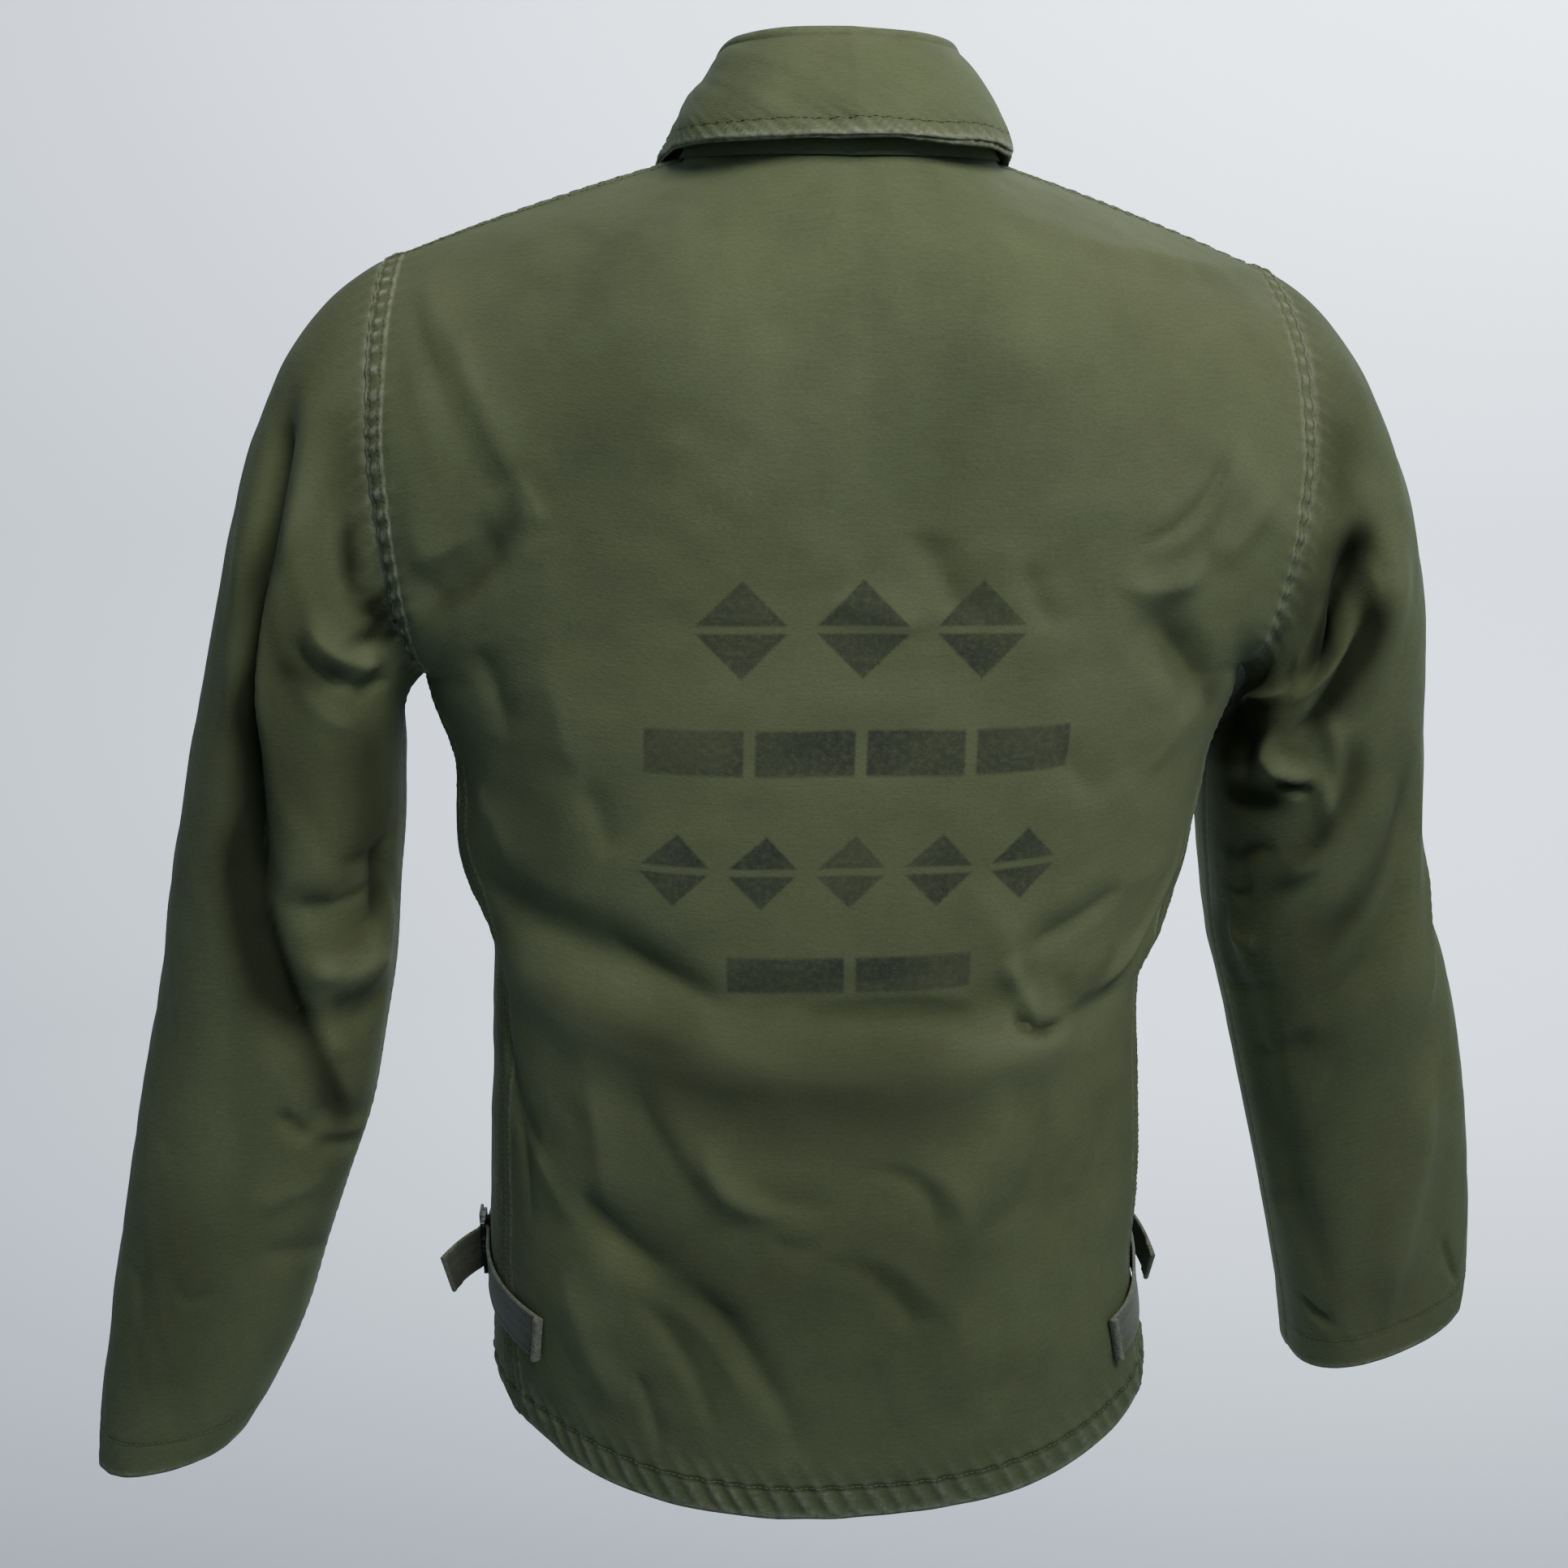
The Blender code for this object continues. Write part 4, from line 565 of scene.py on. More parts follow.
PAINTED_SHADE_LEFT = Table(
    FOLD_COLUMNS,
    (62.5, -112.3, 30.5, -193.8, -7, 6, 2, 0.6),
    (38, -164.4, 15, -280.8, -0.8, 11, 2, 0.9),
    (25, -231.2, 2, -356.7, -1.9, 16, 4, 1.25),
    (10, -300.9, -23.5, -431, 8, 18, 4.5, 1.45),
    (-6, -382.3, -71.5, -492, 7.2, 12, 4.5, 0.85),
    (42, -112.3, -1.5, -171.5, -1.9, 8, 4, 0.35),
    (2.5, -164.1, -26.5, -213.4, 2.7, 3, 4, 0.7),
    (-20.5, -207.2, -20, -234.1, -23.3, 7, 7, 0.95),
    (-24.5, -199.9, -52, -234.7, -0.1, 7, 7, 1),
    (11.5, -227.3, -34.5, -238.8, 11.5, 6, 8, 0.4),
    (-52.5, -326.9, -72, -383.2, 1.4, 8, 10, 0.75),
    (-1.5, -348, -50.5, -340, 5.5, 5, 7, 0.3),
    (-6, -373.5, -65, -376, 5, 5, 7, 0.3),
    (-28.5, -408, -66.5, -399, 4.4, 5, 7, 0.35),
    (-37, -256.4, -43.5, -353.9, -9, 22, 30, 0.7),
    (19, -178.7, -9.5, -341.3, -3.3, 14, 22, 0.55),
    (5, -490, 15, -640, 0, 40, 34, 0.34),
    (210, -210, 250, -300, 4, 8, 8, 0.5),
    (150, -330, 235, -350, 10, 5, 5, 0.45),
)
PAINTED_SHADE_RIGHT = Table(
    FOLD_COLUMNS,
    (21, -169, -36, -265, -1.1, 6, 11, 1.4),
    (12, -196, -36, -291, 8.5, 10, 4, 1.3),
    (-74, -261.5, -65, -313.1, 5.7, 22, 20, 1.7),
    (-78.5, -317, -26, -313.8, -7.2, 10, 6, 1.2),
    (-39.5, -308.3, -17, -313, 0, 3, 3, 1),
    (-54.5, -237.1, -42.5, -224.2, 0, 4, 3, 0.8),
    (-2.5, -276.4, -25, -360.2, 12.1, 6, 8, 0.5),
    (-9.5, -316.2, -43.5, -374.9, 8.2, 6, 6, 0.4),
    (33.5, -275.1, -30.5, -427.7, 15.9, 4, 12, 0.35),
    (-43, -345.7, -78, -356.9, 3.5, 6, 6, 0.45),
    (-81, -385, -71.5, -444.5, -7.9, 10, 8, 0.5),
    (39.5, -112.2, -1, -174, 1.9, 8, 6, 0.35),
    (-1, -174, -44.5, -235.4, 2.7, 6, 6, 0.35),
    (-5.5, -361.9, -32, -489.6, 4.6, 24, 24, 0.32),
    (67, -88.1, 11.5, -158.5, 0, 18, 18, 0.18),
    (210, -220, 250, -310, 4, 8, 8, 0.5),
    (150, -340, 235, -360, 10, 5, 5, 0.45),
)
BODY_DEGREE = 0.0030     # metres of cloth for each degree round the body
SLEEVE_DEGREE = 0.0011   # and round a sleeve

# Side straps: place of the buckle, rise of the strap for each metre it runs forward, sewn end of
# the rear webbing, how far the free end stands off the strap and how far it droops, in degrees.
STRAPS = Table(
    "side  turn   z        slope  sewn   lean   droop",
    (-1.0, 91.5, -0.5790, 0.16, 50.0, 8.0, 24.0),
    (1.0, 91.5, -0.5735, 0.12, 53.5, 46.0, 14.0),
)


# ------------------------------------------------------------ small helpers
def blend(low, high, value):
    """0 below `low`, 1 above `high`, smooth between."""
    t = held((value - low) / (high - low))
    return t * t * (3 - 2 * t)


def unit(vectors):
    length = np.linalg.norm(vectors, axis=-1, keepdims=True)
    return vectors / np.maximum(length, 1e-12)


def bell(away, width, power=2):
    """1 where `away` is 0, falling off smoothly over `width`."""
    return np.exp(-((away / width) ** power))


def held(value):
    """Value kept between 0 and 1."""
    return np.clip(value, 0.0, 1.0)


def square_to(vectors, normal):
    """Unit vectors turned square to a normal."""
    return unit(vectors - normal * np.sum(vectors * normal, axis=-1, keepdims=True))


def signed_power(value, power):
    return np.sign(value) * np.abs(value) ** power


def fold_height(folds, scale, angle, z, power=2.0, unit_height=MM):
    """Height of the cloth above its plain form, from a table of folds; a low power is a crease."""
    total = np.zeros(np.broadcast(angle, z).shape)
    for a0, z0, a1, z1, bow, one, other, height in folds.rows * FOLD_UNITS:
        run = np.array([(a1 - a0) * scale, z1 - z0])
        length = np.hypot(*run)
        run = run / length
        across = (angle - a0) * scale
        up = z - z0
        along = (across * run[0] + up * run[1]) / length
        side = up * run[0] - across * run[1] - bow * 4 * along * (1 - along)
        spread = np.where(side > 0, one, other)
        ends = blend(0.0, 0.3, along) * blend(0.0, 0.3, 1 - along)
        total += unit_height * height * ends * bell(np.abs(side), spread, power)
    return total


# ------------------------------------------------------------ body surface
def neckline(turn):
    """Point of the neckline, degrees from centre back (0) to centre front (180)."""
    rad = np.radians(turn)
    reach = np.where(np.cos(rad) > 0, NECK_BACK - NECK_MIDDLE, NECK_MIDDLE - NECK_FRONT)
    y = NECK_MIDDLE + reach * np.cos(rad)
    return stack(NECK_HALF * np.sin(rad), y, NECKLINE.at("z", turn))


def hem_z(angle):
    c = np.cos(np.radians(angle + HEM_SHIFT))
    back = np.maximum(c, 0) ** 2
    front = np.maximum(-c, 0) ** 2
    return HEM_SIDE + (HEM_BACK - HEM_SIDE) * back + (HEM_FRONT - HEM_SIDE) * front


def centred_section(angle, z):
    """Point of the body at a height, angle in degrees from centre back (left side is +)."""
    rad = np.radians(angle)
    power = BODY.at("bulge", z)
    s = np.sin(rad)
    c = np.cos(rad)
    x = signed_power(s, power) * BODY.at("half", z)
    reach = np.where(c > 0, BODY.at("back", z), -BODY.at("front", z))
    return stack(x, signed_power(c, power) * reach, z)


def level_section(angle, z):
    """The same point with the body's sideways shift at that height."""
    point = centred_section(angle, z)
    point[..., 0] += BODY.at("mid", z)
    return point


def seam_angle(z):
    return BODY.at("seam", z)


def panel_angle(share, z, front):
    """Section angle for a share of the half panel: 0 at its middle line, 1 at the side seam."""
    seam = seam_angle(z)
    if front:
        return 180.0 - share * (180.0 - seam)
    return share * seam


def upper_end(share, front):
    """Top edge of a half panel: neckline, then shoulder seam."""
    neck = held(share / NECK_SHARE)
    turn = 180.0 - 90.0 * neck if front else 90.0 * neck
    ridge = SHOULDER.point(held((share - NECK_SHARE) / (1 - NECK_SHARE)))
    return np.where((share > NECK_SHARE)[..., None], ridge, neckline(turn))


# Armhole seam of the wearer's left side. `turn`: -90 underarm, 0 back, 90 shoulder tip, 180 front.
UNDERARM = level_section(seam_angle(PIT_Z), PIT_Z)
ARMHOLE = Table(
    "turn    x       y       z",
    (-90.0, *UNDERARM),
    (-60.0, 0.2120, 0.0510, -0.2410),
    (-35.0, 0.2180, 0.0640, -0.2130),
    (-10.0, 0.2225, 0.0720, -0.1780),
    (15.0, 0.2260, 0.0700, -0.1420),
    (40.0, 0.2262, 0.0590, -0.1060),
    (65.0, 0.2245, 0.0350, -0.0720),
    (90.0, SHOULDER_X, SHOULDER_Y, SHOULDER_Z),
    (115.0, 0.2190, -0.0430, -0.0720),
    (140.0, 0.2120, -0.0660, -0.1070),
    (165.0, 0.2065, -0.0760, -0.1450),
    (190.0, 0.2050, -0.0730, -0.1840),
    (215.0, 0.2095, -0.0520, -0.2200),
    (240.0, 0.2118, -0.0130, -0.2430),
    (270.0, *UNDERARM),
)
ARMHOLE_MIDDLE = np.array([0.213, 0.0, -0.150])


def armhole(turn):
    return ARMHOLE.point((np.asarray(turn, dtype=float) + 90.0) % 360.0 - 90.0)


def settled(points):
    """Lowers the wearer's right shoulder a little."""
    drop = blend(0.04, SHOULDER_X, -points[..., 0]) * blend(PIT_Z, SHOULDER_Z, points[..., 2])
    points[..., 2] -= RIGHT_DROP * drop
    return points


def armhole_turn(share, front):
    """Turn of the armhole seam at a share of a panel's edge, underarm to shoulder tip."""
    return 270.0 - 180.0 * share if front else -90.0 + 180.0 * share


def armhole_wall(turn, lean):
    """Outward wall direction at the armhole seam; `lean` is 1 for a panel and -1 for a sleeve."""
    radial = armhole(turn) - ARMHOLE_MIDDLE
    radial[..., 0] = 0.0
    radial = unit(radial)
    under = np.maximum(-np.sin(np.radians(turn)), 0.0) ** 2
    radial[..., 0] = lean * under
    return unit(radial)


def turned_over(low, end, t, fullness, lean, front):
    """Curve from the underarm level up over the shoulder, which leans more and more inward."""
    chord = np.linalg.norm(end - low, axis=-1) * fullness
    inward = lean if front else -lean
    leave = stack(0.0, 0.0, chord)
    arrive = stack(0.0, inward * chord, np.sqrt(1 - lean ** 2) * chord)
    return cubic(low, end, leave, arrive, t[..., None])


def half_panel(share, up, front):
    """Plain surface of a half panel. up: 0 hem, 1 underarm level, 2 shoulder. share may be < 0."""
    mirror = np.where(np.signbit(share), -1.0, 1.0)
    share = np.abs(share)
    low = held(up)
    z = np.full_like(low, PIT_Z)
    for _ in range(2):
        angle = panel_angle(share, z, front)
        z = hem_z(angle) + (PIT_Z - hem_z(angle)) * low
    lower = centred_section(panel_angle(share, z, front), z)

    t = held(up - 1.0)
    late = blend(0.35, 1.0, t)[..., None]
    smooth_end = (TOP_FRONT if front else TOP_BACK).point(share)
    end = smooth_end * (1 - late) + upper_end(held(share), front) * late
    lean_name = "lean_front" if front else "lean_back"
    upper = turned_over(lower, end, t, TURNOVER.at("fullness", share),
                        TURNOVER.at(lean_name, share), front)
    edge = armhole(armhole_turn(t, front))
    plain_low = centred_section(panel_angle(1.0, PIT_Z, front), np.float64(PIT_Z))
    plain_end = upper_end(np.ones(1), front)[0]
    plain = turned_over(plain_low, plain_end, t, 1.0, TURNOVER.column(lean_name)[-1], front)
    pull = (blend(0.35, 1.0, share) ** 1.6)[..., None]
    upper = upper + pull * (edge - plain)
    point = np.where((up > 1.0)[..., None], upper, lower)
    if front:
        point[..., 0] += FRONT_GAP * held(1 - share * 2.2) ** 2
    point[..., 0] *= mirror
    point[..., 0] += BODY.at("mid", point[..., 2])
    return point


def outward(surface, a, b, step_a, step_b):
    """Unit normal of surface(a, b) by differences."""
    along_a = surface(a + step_a, b) - surface(a - step_a, b)
    along_b = surface(a, b + step_b) - surface(a, b - step_b)
    return unit(np.cross(along_a, along_b))


def sleeve_ring(rings, turn, down):
    """Point of the hanging part of a sleeve, before it is mirrored for the right side."""
    rad = np.radians(turn)
    out = signed_power(np.sin(rad), SLEEVE_SQUARE)
    back = signed_power(np.cos(rad), SLEEVE_SQUARE)
    inner = rings.at("inner", down)
    outer = rings.at("outer", down)
    x = 0.5 * (inner + outer) + 0.5 * (outer - inner) * out
    y = rings.at("y", down) + rings.at("depth", down) * back
    return stack(x, y, rings.at("z", down) - 0.5 * rings.at("rise", down) * out)


def sleeve_surface(rings, stand, turn, reach):
    """Plain sleeve: reach 0 at the armhole seam, 1 at the first hanging ring, 2 at the cuff."""
    t = held(reach)
    start = armhole(turn)
    start[..., 0] += SEAM + BAND_RISE
    end = sleeve_ring(rings, turn, 0.0 * reach)
    chord = np.linalg.norm(end - start, axis=-1)
    under = (0.5 - 0.5 * np.sin(np.radians(turn))) ** 1.5
    leave = unit(stack(0.90 - 0.14 * under, 0.0, -0.42 - 0.22 * under))
    leave = leave * (chord * stand)[..., None]
    hang = unit(sleeve_ring(rings, turn, 0.05 + 0.0 * reach) - end)
    head = cubic(start, end, leave, hang * chord[..., None], t[..., None])
    tube = sleeve_ring(rings, turn, held(reach - 1.0))
    return np.where((reach > 1.0)[..., None], tube, head)


# Centre of the turn at the roll line and lower edge of the fall, degrees from centre back.
COLLAR = Table(
    "turn    roll_x  roll_y  roll_z  edge_x  edge_y  edge_z",
    (0.0, 0.0000, 0.0590, 0.0448, 0.0000, 0.0940, -0.0010),
    (30.0, 0.0280, 0.0520, 0.0452, 0.0460, 0.0840, -0.0010),
    (60.0, 0.0490, 0.0300, 0.0450, 0.0765, 0.0510, -0.0005),
    (90.0, 0.0555, 0.0000, 0.0400, 0.0865, 0.0060, 0.0010),
    (115.0, 0.0500, -0.0330, 0.0280, 0.0920, -0.0420, -0.0160),
    (140.0, 0.0380, -0.0640, 0.0060, 0.0850, -0.0885, -0.0560),
    (160.0, 0.0230, -0.0860, -0.0200, 0.0680, -0.1165, -0.0950),
    (172.0, 0.0140, -0.0960, -0.0360, 0.0540, -0.1250, -0.1180),
)
COLLAR_END = 172.0
COLLAR_BOW = 0.0035
COLLAR_SET = 0.0008      # foot of the solid's stand above the neckline
COLLAR_TUCK = 0.0018     # and how far the cloth's foot is tucked below that
UNDER_LIP = 0.0018       # lower edge of the under ply below the upper one's
STAND_END = 0.25         # stations of the collar where its stand ends and its fall begins
FALL_START = 0.60


def collar_path(turn, depth, station):
    """Point of the collar: depth is one number, in from its outer skin; station runs 0 to 1."""
    rad = np.radians(turn)
    out = stack(np.sin(rad), np.cos(rad), 0.0)
    up = np.array([0.0, 0.0, 1.0])
    away = np.abs(turn)
    sign = np.where(turn < 0, -1.0, 1.0)
    roll, edge, base = COLLAR.point(away, "roll_"), COLLAR.point(away, "edge_"), neckline(away)
    for line in (roll, edge, base):
        line[..., 0] *= sign
    base[..., 2] += COLLAR_SET
    radius = COLLAR_ROLL - depth
    fall_dir = unit(edge - roll)
    fall_out = square_to(out, fall_dir)
    s = station[..., None]
    rise = held(s / STAND_END)
    swing = np.pi * held((s - STAND_END) / (FALL_START - STAND_END))
    drop = held((s - FALL_START) / (1 - FALL_START))
    stand = (base + out * depth) * (1 - rise) + (roll - out * radius) * rise
    arc = roll + radius * (-np.cos(swing) * out + np.sin(swing) * up)
    fall = (roll + out * radius) * (1 - drop) + (edge - fall_out * depth) * drop
    fall = fall + fall_out * COLLAR_BOW * 4 * drop * (1 - drop)
    return np.where(s <= STAND_END, stand, np.where(s < FALL_START, arc, fall))


# ------------------------------------------------------------ cloth detail
LATTICE = 97             # random values each way before the noise repeats


def soft_noise(x, y, cell_x, cell_y, seed):
    """Smooth random height from -1 to 1, one value for each cell of a lattice."""
    values = np.random.default_rng(seed).uniform(-1.0, 1.0, (LATTICE, LATTICE))
    u = x / cell_x
    v = y / cell_y
    i = np.floor(u).astype(int)
    j = np.floor(v).astype(int)
    s = blend(0.0, 1.0, u - i)

    def row(k):
        k = k % LATTICE
        return values[i % LATTICE, k] * (1 - s) + values[(i + 1) % LATTICE, k] * s

    t = blend(0.0, 1.0, v - j)
    return row(j) * (1 - t) + row(j + 1) * t


def rumpled(x, y, layers, more_seed=0):
    """Sum of layers of soft noise."""
    return sum(height * soft_noise(x, y, wide, tall, seed + more_seed)
               for height, wide, tall, seed in layers)


def ripple(along, pitch, seed):
    """Uneven waves along a seam, as tight thread draws the cloth up."""
    drift = 0.35 * soft_noise(along, 0.0 * along, 2.5 * pitch, 1.0, seed)
    size = 0.75 + 0.25 * soft_noise(along, 0.0 * along, 1.7 * pitch, 1.0, seed + 1)
    return size * np.sin(2 * np.pi * (along / pitch + drift))


def inside(distance, edge, step=BAND_STEP):
    """1 up to a band's edge, 0 beyond it."""
    return 1.0 - blend(edge - step, edge + step, distance)


def grooves(distance, *rows):
    """Grooves under rows of stitches at the given distances."""
    return sum(bell(distance - row, NEEDLE) for row in rows)


def armhole_relief(distance, along, sizes):
    """Relief of the lapped armhole seam: stitch grooves, with ripples across the band."""
    fade = bell(np.maximum(distance - BAND_WIDTH, 0.0), 0.007)
    flat = 1.0 - 0.55 * blend(BAND_WIDTH - 0.001, BAND_WIDTH + 0.003, distance)
    wave = ripple(along, sizes.pucker_pitch, 11) * fade * flat
    return sizes.pucker_height * wave - TWIN_DEPTH * grooves(distance, *TWIN)


def seam_relief(weight, distance, along, seam):
    """Band, ripples and stitch grooves of another lapped seam, where `weight` is 1."""
    wave = weight * bell(np.maximum(distance - seam.band, 0.0), 0.006)
    wave = wave * ripple(along, seam.pitch, seam.seed) * seam.pucker
    return weight * inside(distance, seam.band), wave, weight * grooves(distance, *seam.rows)


def arc_lengths(points, axis):
    """Running length along each row or column of a grid of points."""
    step = np.linalg.norm(np.diff(points, axis=axis), axis=-1)
    zero = np.zeros_like(np.take(step, [0], axis=axis))
    return np.concatenate([zero, np.cumsum(step, axis=axis)], axis=axis)


def grid_normals(points, closed=False):
    """Normals of a grid of points."""
    if closed:
        across = np.roll(points, -1, axis=1) - np.roll(points, 1, axis=1)
    else:
        across = np.gradient(points, axis=1)
    return unit(np.cross(across, np.gradient(points, axis=0)))


def spaced(stops, counts):
    """Positions from stop to stop, each stretch evenly cut into its count."""
    parts = [np.linspace(a, b, n + 1)[:-1] for a, b, n in zip(stops, stops[1:], counts)]
    return np.concatenate(parts + [[stops[-1]]])


class Cloth:
    """A dense grid of cloth: points, wall direction and thickness, cloth coordinates, marks."""

    def __init__(self, name, outer, wall, thick, u, v, marks, closed=False, **measures):
        self.name = name
        self.outer = outer
        self.wall = wall
        self.thick = thick
        self.u = u
        self.v = v
        self.marks = marks
        self.closed = closed
        self.measures = measures
        self.normal = grid_normals(outer, closed)
        if np.sum(self.normal * wall, axis=-1).mean() < 0:
            self.normal = -self.normal

    def line(self, measure, value, along_rows=True):
        """Points and normals where `measure` crosses `value`, one for each row (or column)."""
        grid, faces = self.outer, self.normal
        if not along_rows:
            grid, faces, measure = grid.swapaxes(0, 1), faces.swapaxes(0, 1), measure.T
        points, normals = [], []
        for row in range(measure.shape[0]):
            low = measure[row, :-1] - value
            high = measure[row, 1:] - value
            hit = np.nonzero(low * high <= 0)[0]
            if len(hit) == 0:
                continue
            k = hit[0]
            share = low[k] / (low[k] - high[k]) if low[k] != high[k] else 0.0
            points.append(grid[row, k] * (1 - share) + grid[row, k + 1] * share)
            normals.append(faces[row, k] * (1 - share) + faces[row, k + 1] * share)
        return np.array(points), unit(np.array(normals))


# ------------------------------------------------------------ meshes
def wrapped(index):
    """A grid of vertex numbers with its first column again at the end."""
    return np.concatenate([index, index[:, :1]], axis=1)


def grid_faces(index):
    """Four-sided faces between the rows and columns of a grid of vertex numbers."""
    corners = [index[:-1, :-1], index[:-1, 1:], index[1:, 1:], index[1:, :-1]]
    return np.stack(corners, axis=-1).reshape(-1, 4).tolist()


def rim_faces(outer, inner):
    """Faces joining a dense edge to an edge with a third of its points."""
    faces = []
    for j in range(len(inner) - 1):
        a, b = inner[j], inner[j + 1]
        o = outer[3 * j:3 * j + 4]
        faces += [(a, o[0], o[1]), (a, o[1], o[2]), (a, o[2], b), (b, o[2], o[3])]
    return faces


def mesh_object(name, points, faces, mat, smooth=True, check=True):
    """Object of one mesh, its faces turned outward."""
    mesh = bpy.data.meshes.new(name)
    mesh.from_pydata(np.asarray(points).tolist(), [], faces)
    if check:
        mesh.validate()
    bm = bmesh.new()
    bm.from_mesh(mesh)
    bmesh.ops.recalc_face_normals(bm, faces=bm.faces[:])
    bm.to_mesh(mesh)
    bm.free()
    if smooth:
        mesh.shade_smooth()
    mesh.materials.append(mat)
    obj = bpy.data.objects.new(name, mesh)
    bpy.context.scene.collection.objects.link(obj)
    return obj


def add_mark(mesh, name, values):
    """A value at each vertex, for the material to read."""
    layer = mesh.attributes.new(name, "FLOAT", "POINT")
    layer.data.foreach_set("value", values.astype(np.float32).reshape(-1))


def add_cloth_place(mesh, u, v, closed=False):
    """Cloth coordinates, from one pair at each vertex."""
    corner = np.empty(len(mesh.loops), dtype=np.int32)
    mesh.loops.foreach_get("vertex_index", corner)
    uv = np.stack([u.reshape(-1), v.reshape(-1)], axis=-1)[corner]
    if closed:
        uv = unwrapped(mesh, uv)
    layer = mesh.uv_layers.new(name="cloth")
    layer.data.foreach_set("uv", uv.astype(np.float32).reshape(-1))


def unwrapped(mesh, uv):
    """Keeps a face of a tube from running back across the whole width at the seam."""
    widest = uv[:, 0].max()
    sizes = np.empty(len(mesh.polygons), dtype=np.int32)
    mesh.polygons.foreach_get("loop_total", sizes)
    starts = np.cumsum(sizes) - sizes
    high = np.maximum.reduceat(uv[:, 0], starts)
    low = np.minimum.reduceat(uv[:, 0], starts)
    wraps = np.repeat(high - low > 0.5 * widest, sizes)
    uv[wraps & (uv[:, 0] < 0.5 * widest), 0] += widest * 1.01
    return uv


def cloth_object(cloth, mat):
    """Thin closed shell: dense outside, inside with a third of the points each way."""
    rows, cols = cloth.outer.shape[:2]
    inner = (cloth.outer - cloth.wall * cloth.thick[..., None])[::3, ::3]
    low_rows, low_cols = inner.shape[:2]
    top = np.arange(rows * cols).reshape(rows, cols)
    low = rows * cols + np.arange(low_rows * low_cols).reshape(low_rows, low_cols)
    if cloth.closed:
        top, low = wrapped(top), wrapped(low)
    faces = grid_faces(top) + grid_faces(low)
    edges = [(top[0], low[0]), (top[-1], low[-1])]
    if not cloth.closed:
        edges += [(top[:, 0], low[:, 0]), (top[:, -1], low[:, -1])]
    for dense, coarse in edges:
        faces += rim_faces(dense.tolist(), coarse.tolist())

    def both(values):
        return np.concatenate([values.reshape(-1), values[::3, ::3].reshape(-1)])

    points = np.concatenate([cloth.outer.reshape(-1, 3), inner.reshape(-1, 3)])
    obj = mesh_object(cloth.name, points, faces, mat, check=False)
    for name, values in cloth.marks.items():
        add_mark(obj.data, name, both(values))
    add_cloth_place(obj.data, both(cloth.u), both(cloth.v), cloth.closed)
    return obj


def strip_object(name, upper, lower, u, v, mat):
    """Long closed strip from rows of points; u across both its sides, v along it."""
    ring = np.concatenate([upper, lower], axis=1)
    rows, around = ring.shape[:2]
    index = np.arange(rows * around).reshape(rows, around)
    faces = grid_faces(wrapped(index))
    for row in index[[0, -1]]:
        for k in range(upper.shape[1] - 1):
            faces.append(row[[k, k + 1, around - 2 - k, around - 1 - k]].tolist())
    obj = mesh_object(name, ring.reshape(-1, 3), faces, mat)
    u, v = np.broadcast_arrays(u[None], v[:, None])
    add_cloth_place(obj.data, u, v)
    return obj


def tube_faces(count, rings, sides):
    """Faces of many short closed tubes whose points follow each other ring by ring."""
    base = np.arange(count)[:, None] * rings * sides
    quads = np.array(grid_faces(wrapped(np.arange(rings * sides).reshape(rings, sides))))
    faces = (base[:, :, None] + quads[None]).reshape(-1, 4).tolist()
    cap = np.arange(sides)
    faces += (base + cap[::-1][None]).tolist()
    return faces + (base + (rings - 1) * sides + cap[None]).tolist()


# ------------------------------------------------------------ body cloth
# Last column and row of a panel, half a seam's gap and a seam's gap short of its edges.
SIDE_COLUMN = 1.0 - 0.5 * SEAM / 0.22
TOP_ROW = 2.0 - SEAM / 0.45
EASE_REACH = 0.13        # share of a half panel over which the bend at the neck is softened
EASE_PASSES = 90


def eased(point, share, up):
    """Softens the bend that runs down from each end of the neckline."""
    near = bell(np.abs(share) - NECK_SHARE, EASE_REACH)
    weight = (near * blend(1.2, 1.4, up) * (1.0 - blend(1.94, 1.995, up)))[..., None]
    soft = point.copy()
    for _ in range(EASE_PASSES):
        soft[:, 1:-1] = 0.25 * soft[:, :-2] + 0.5 * soft[:, 1:-1] + 0.25 * soft[:, 2:]
    return point + (soft - point) * weight


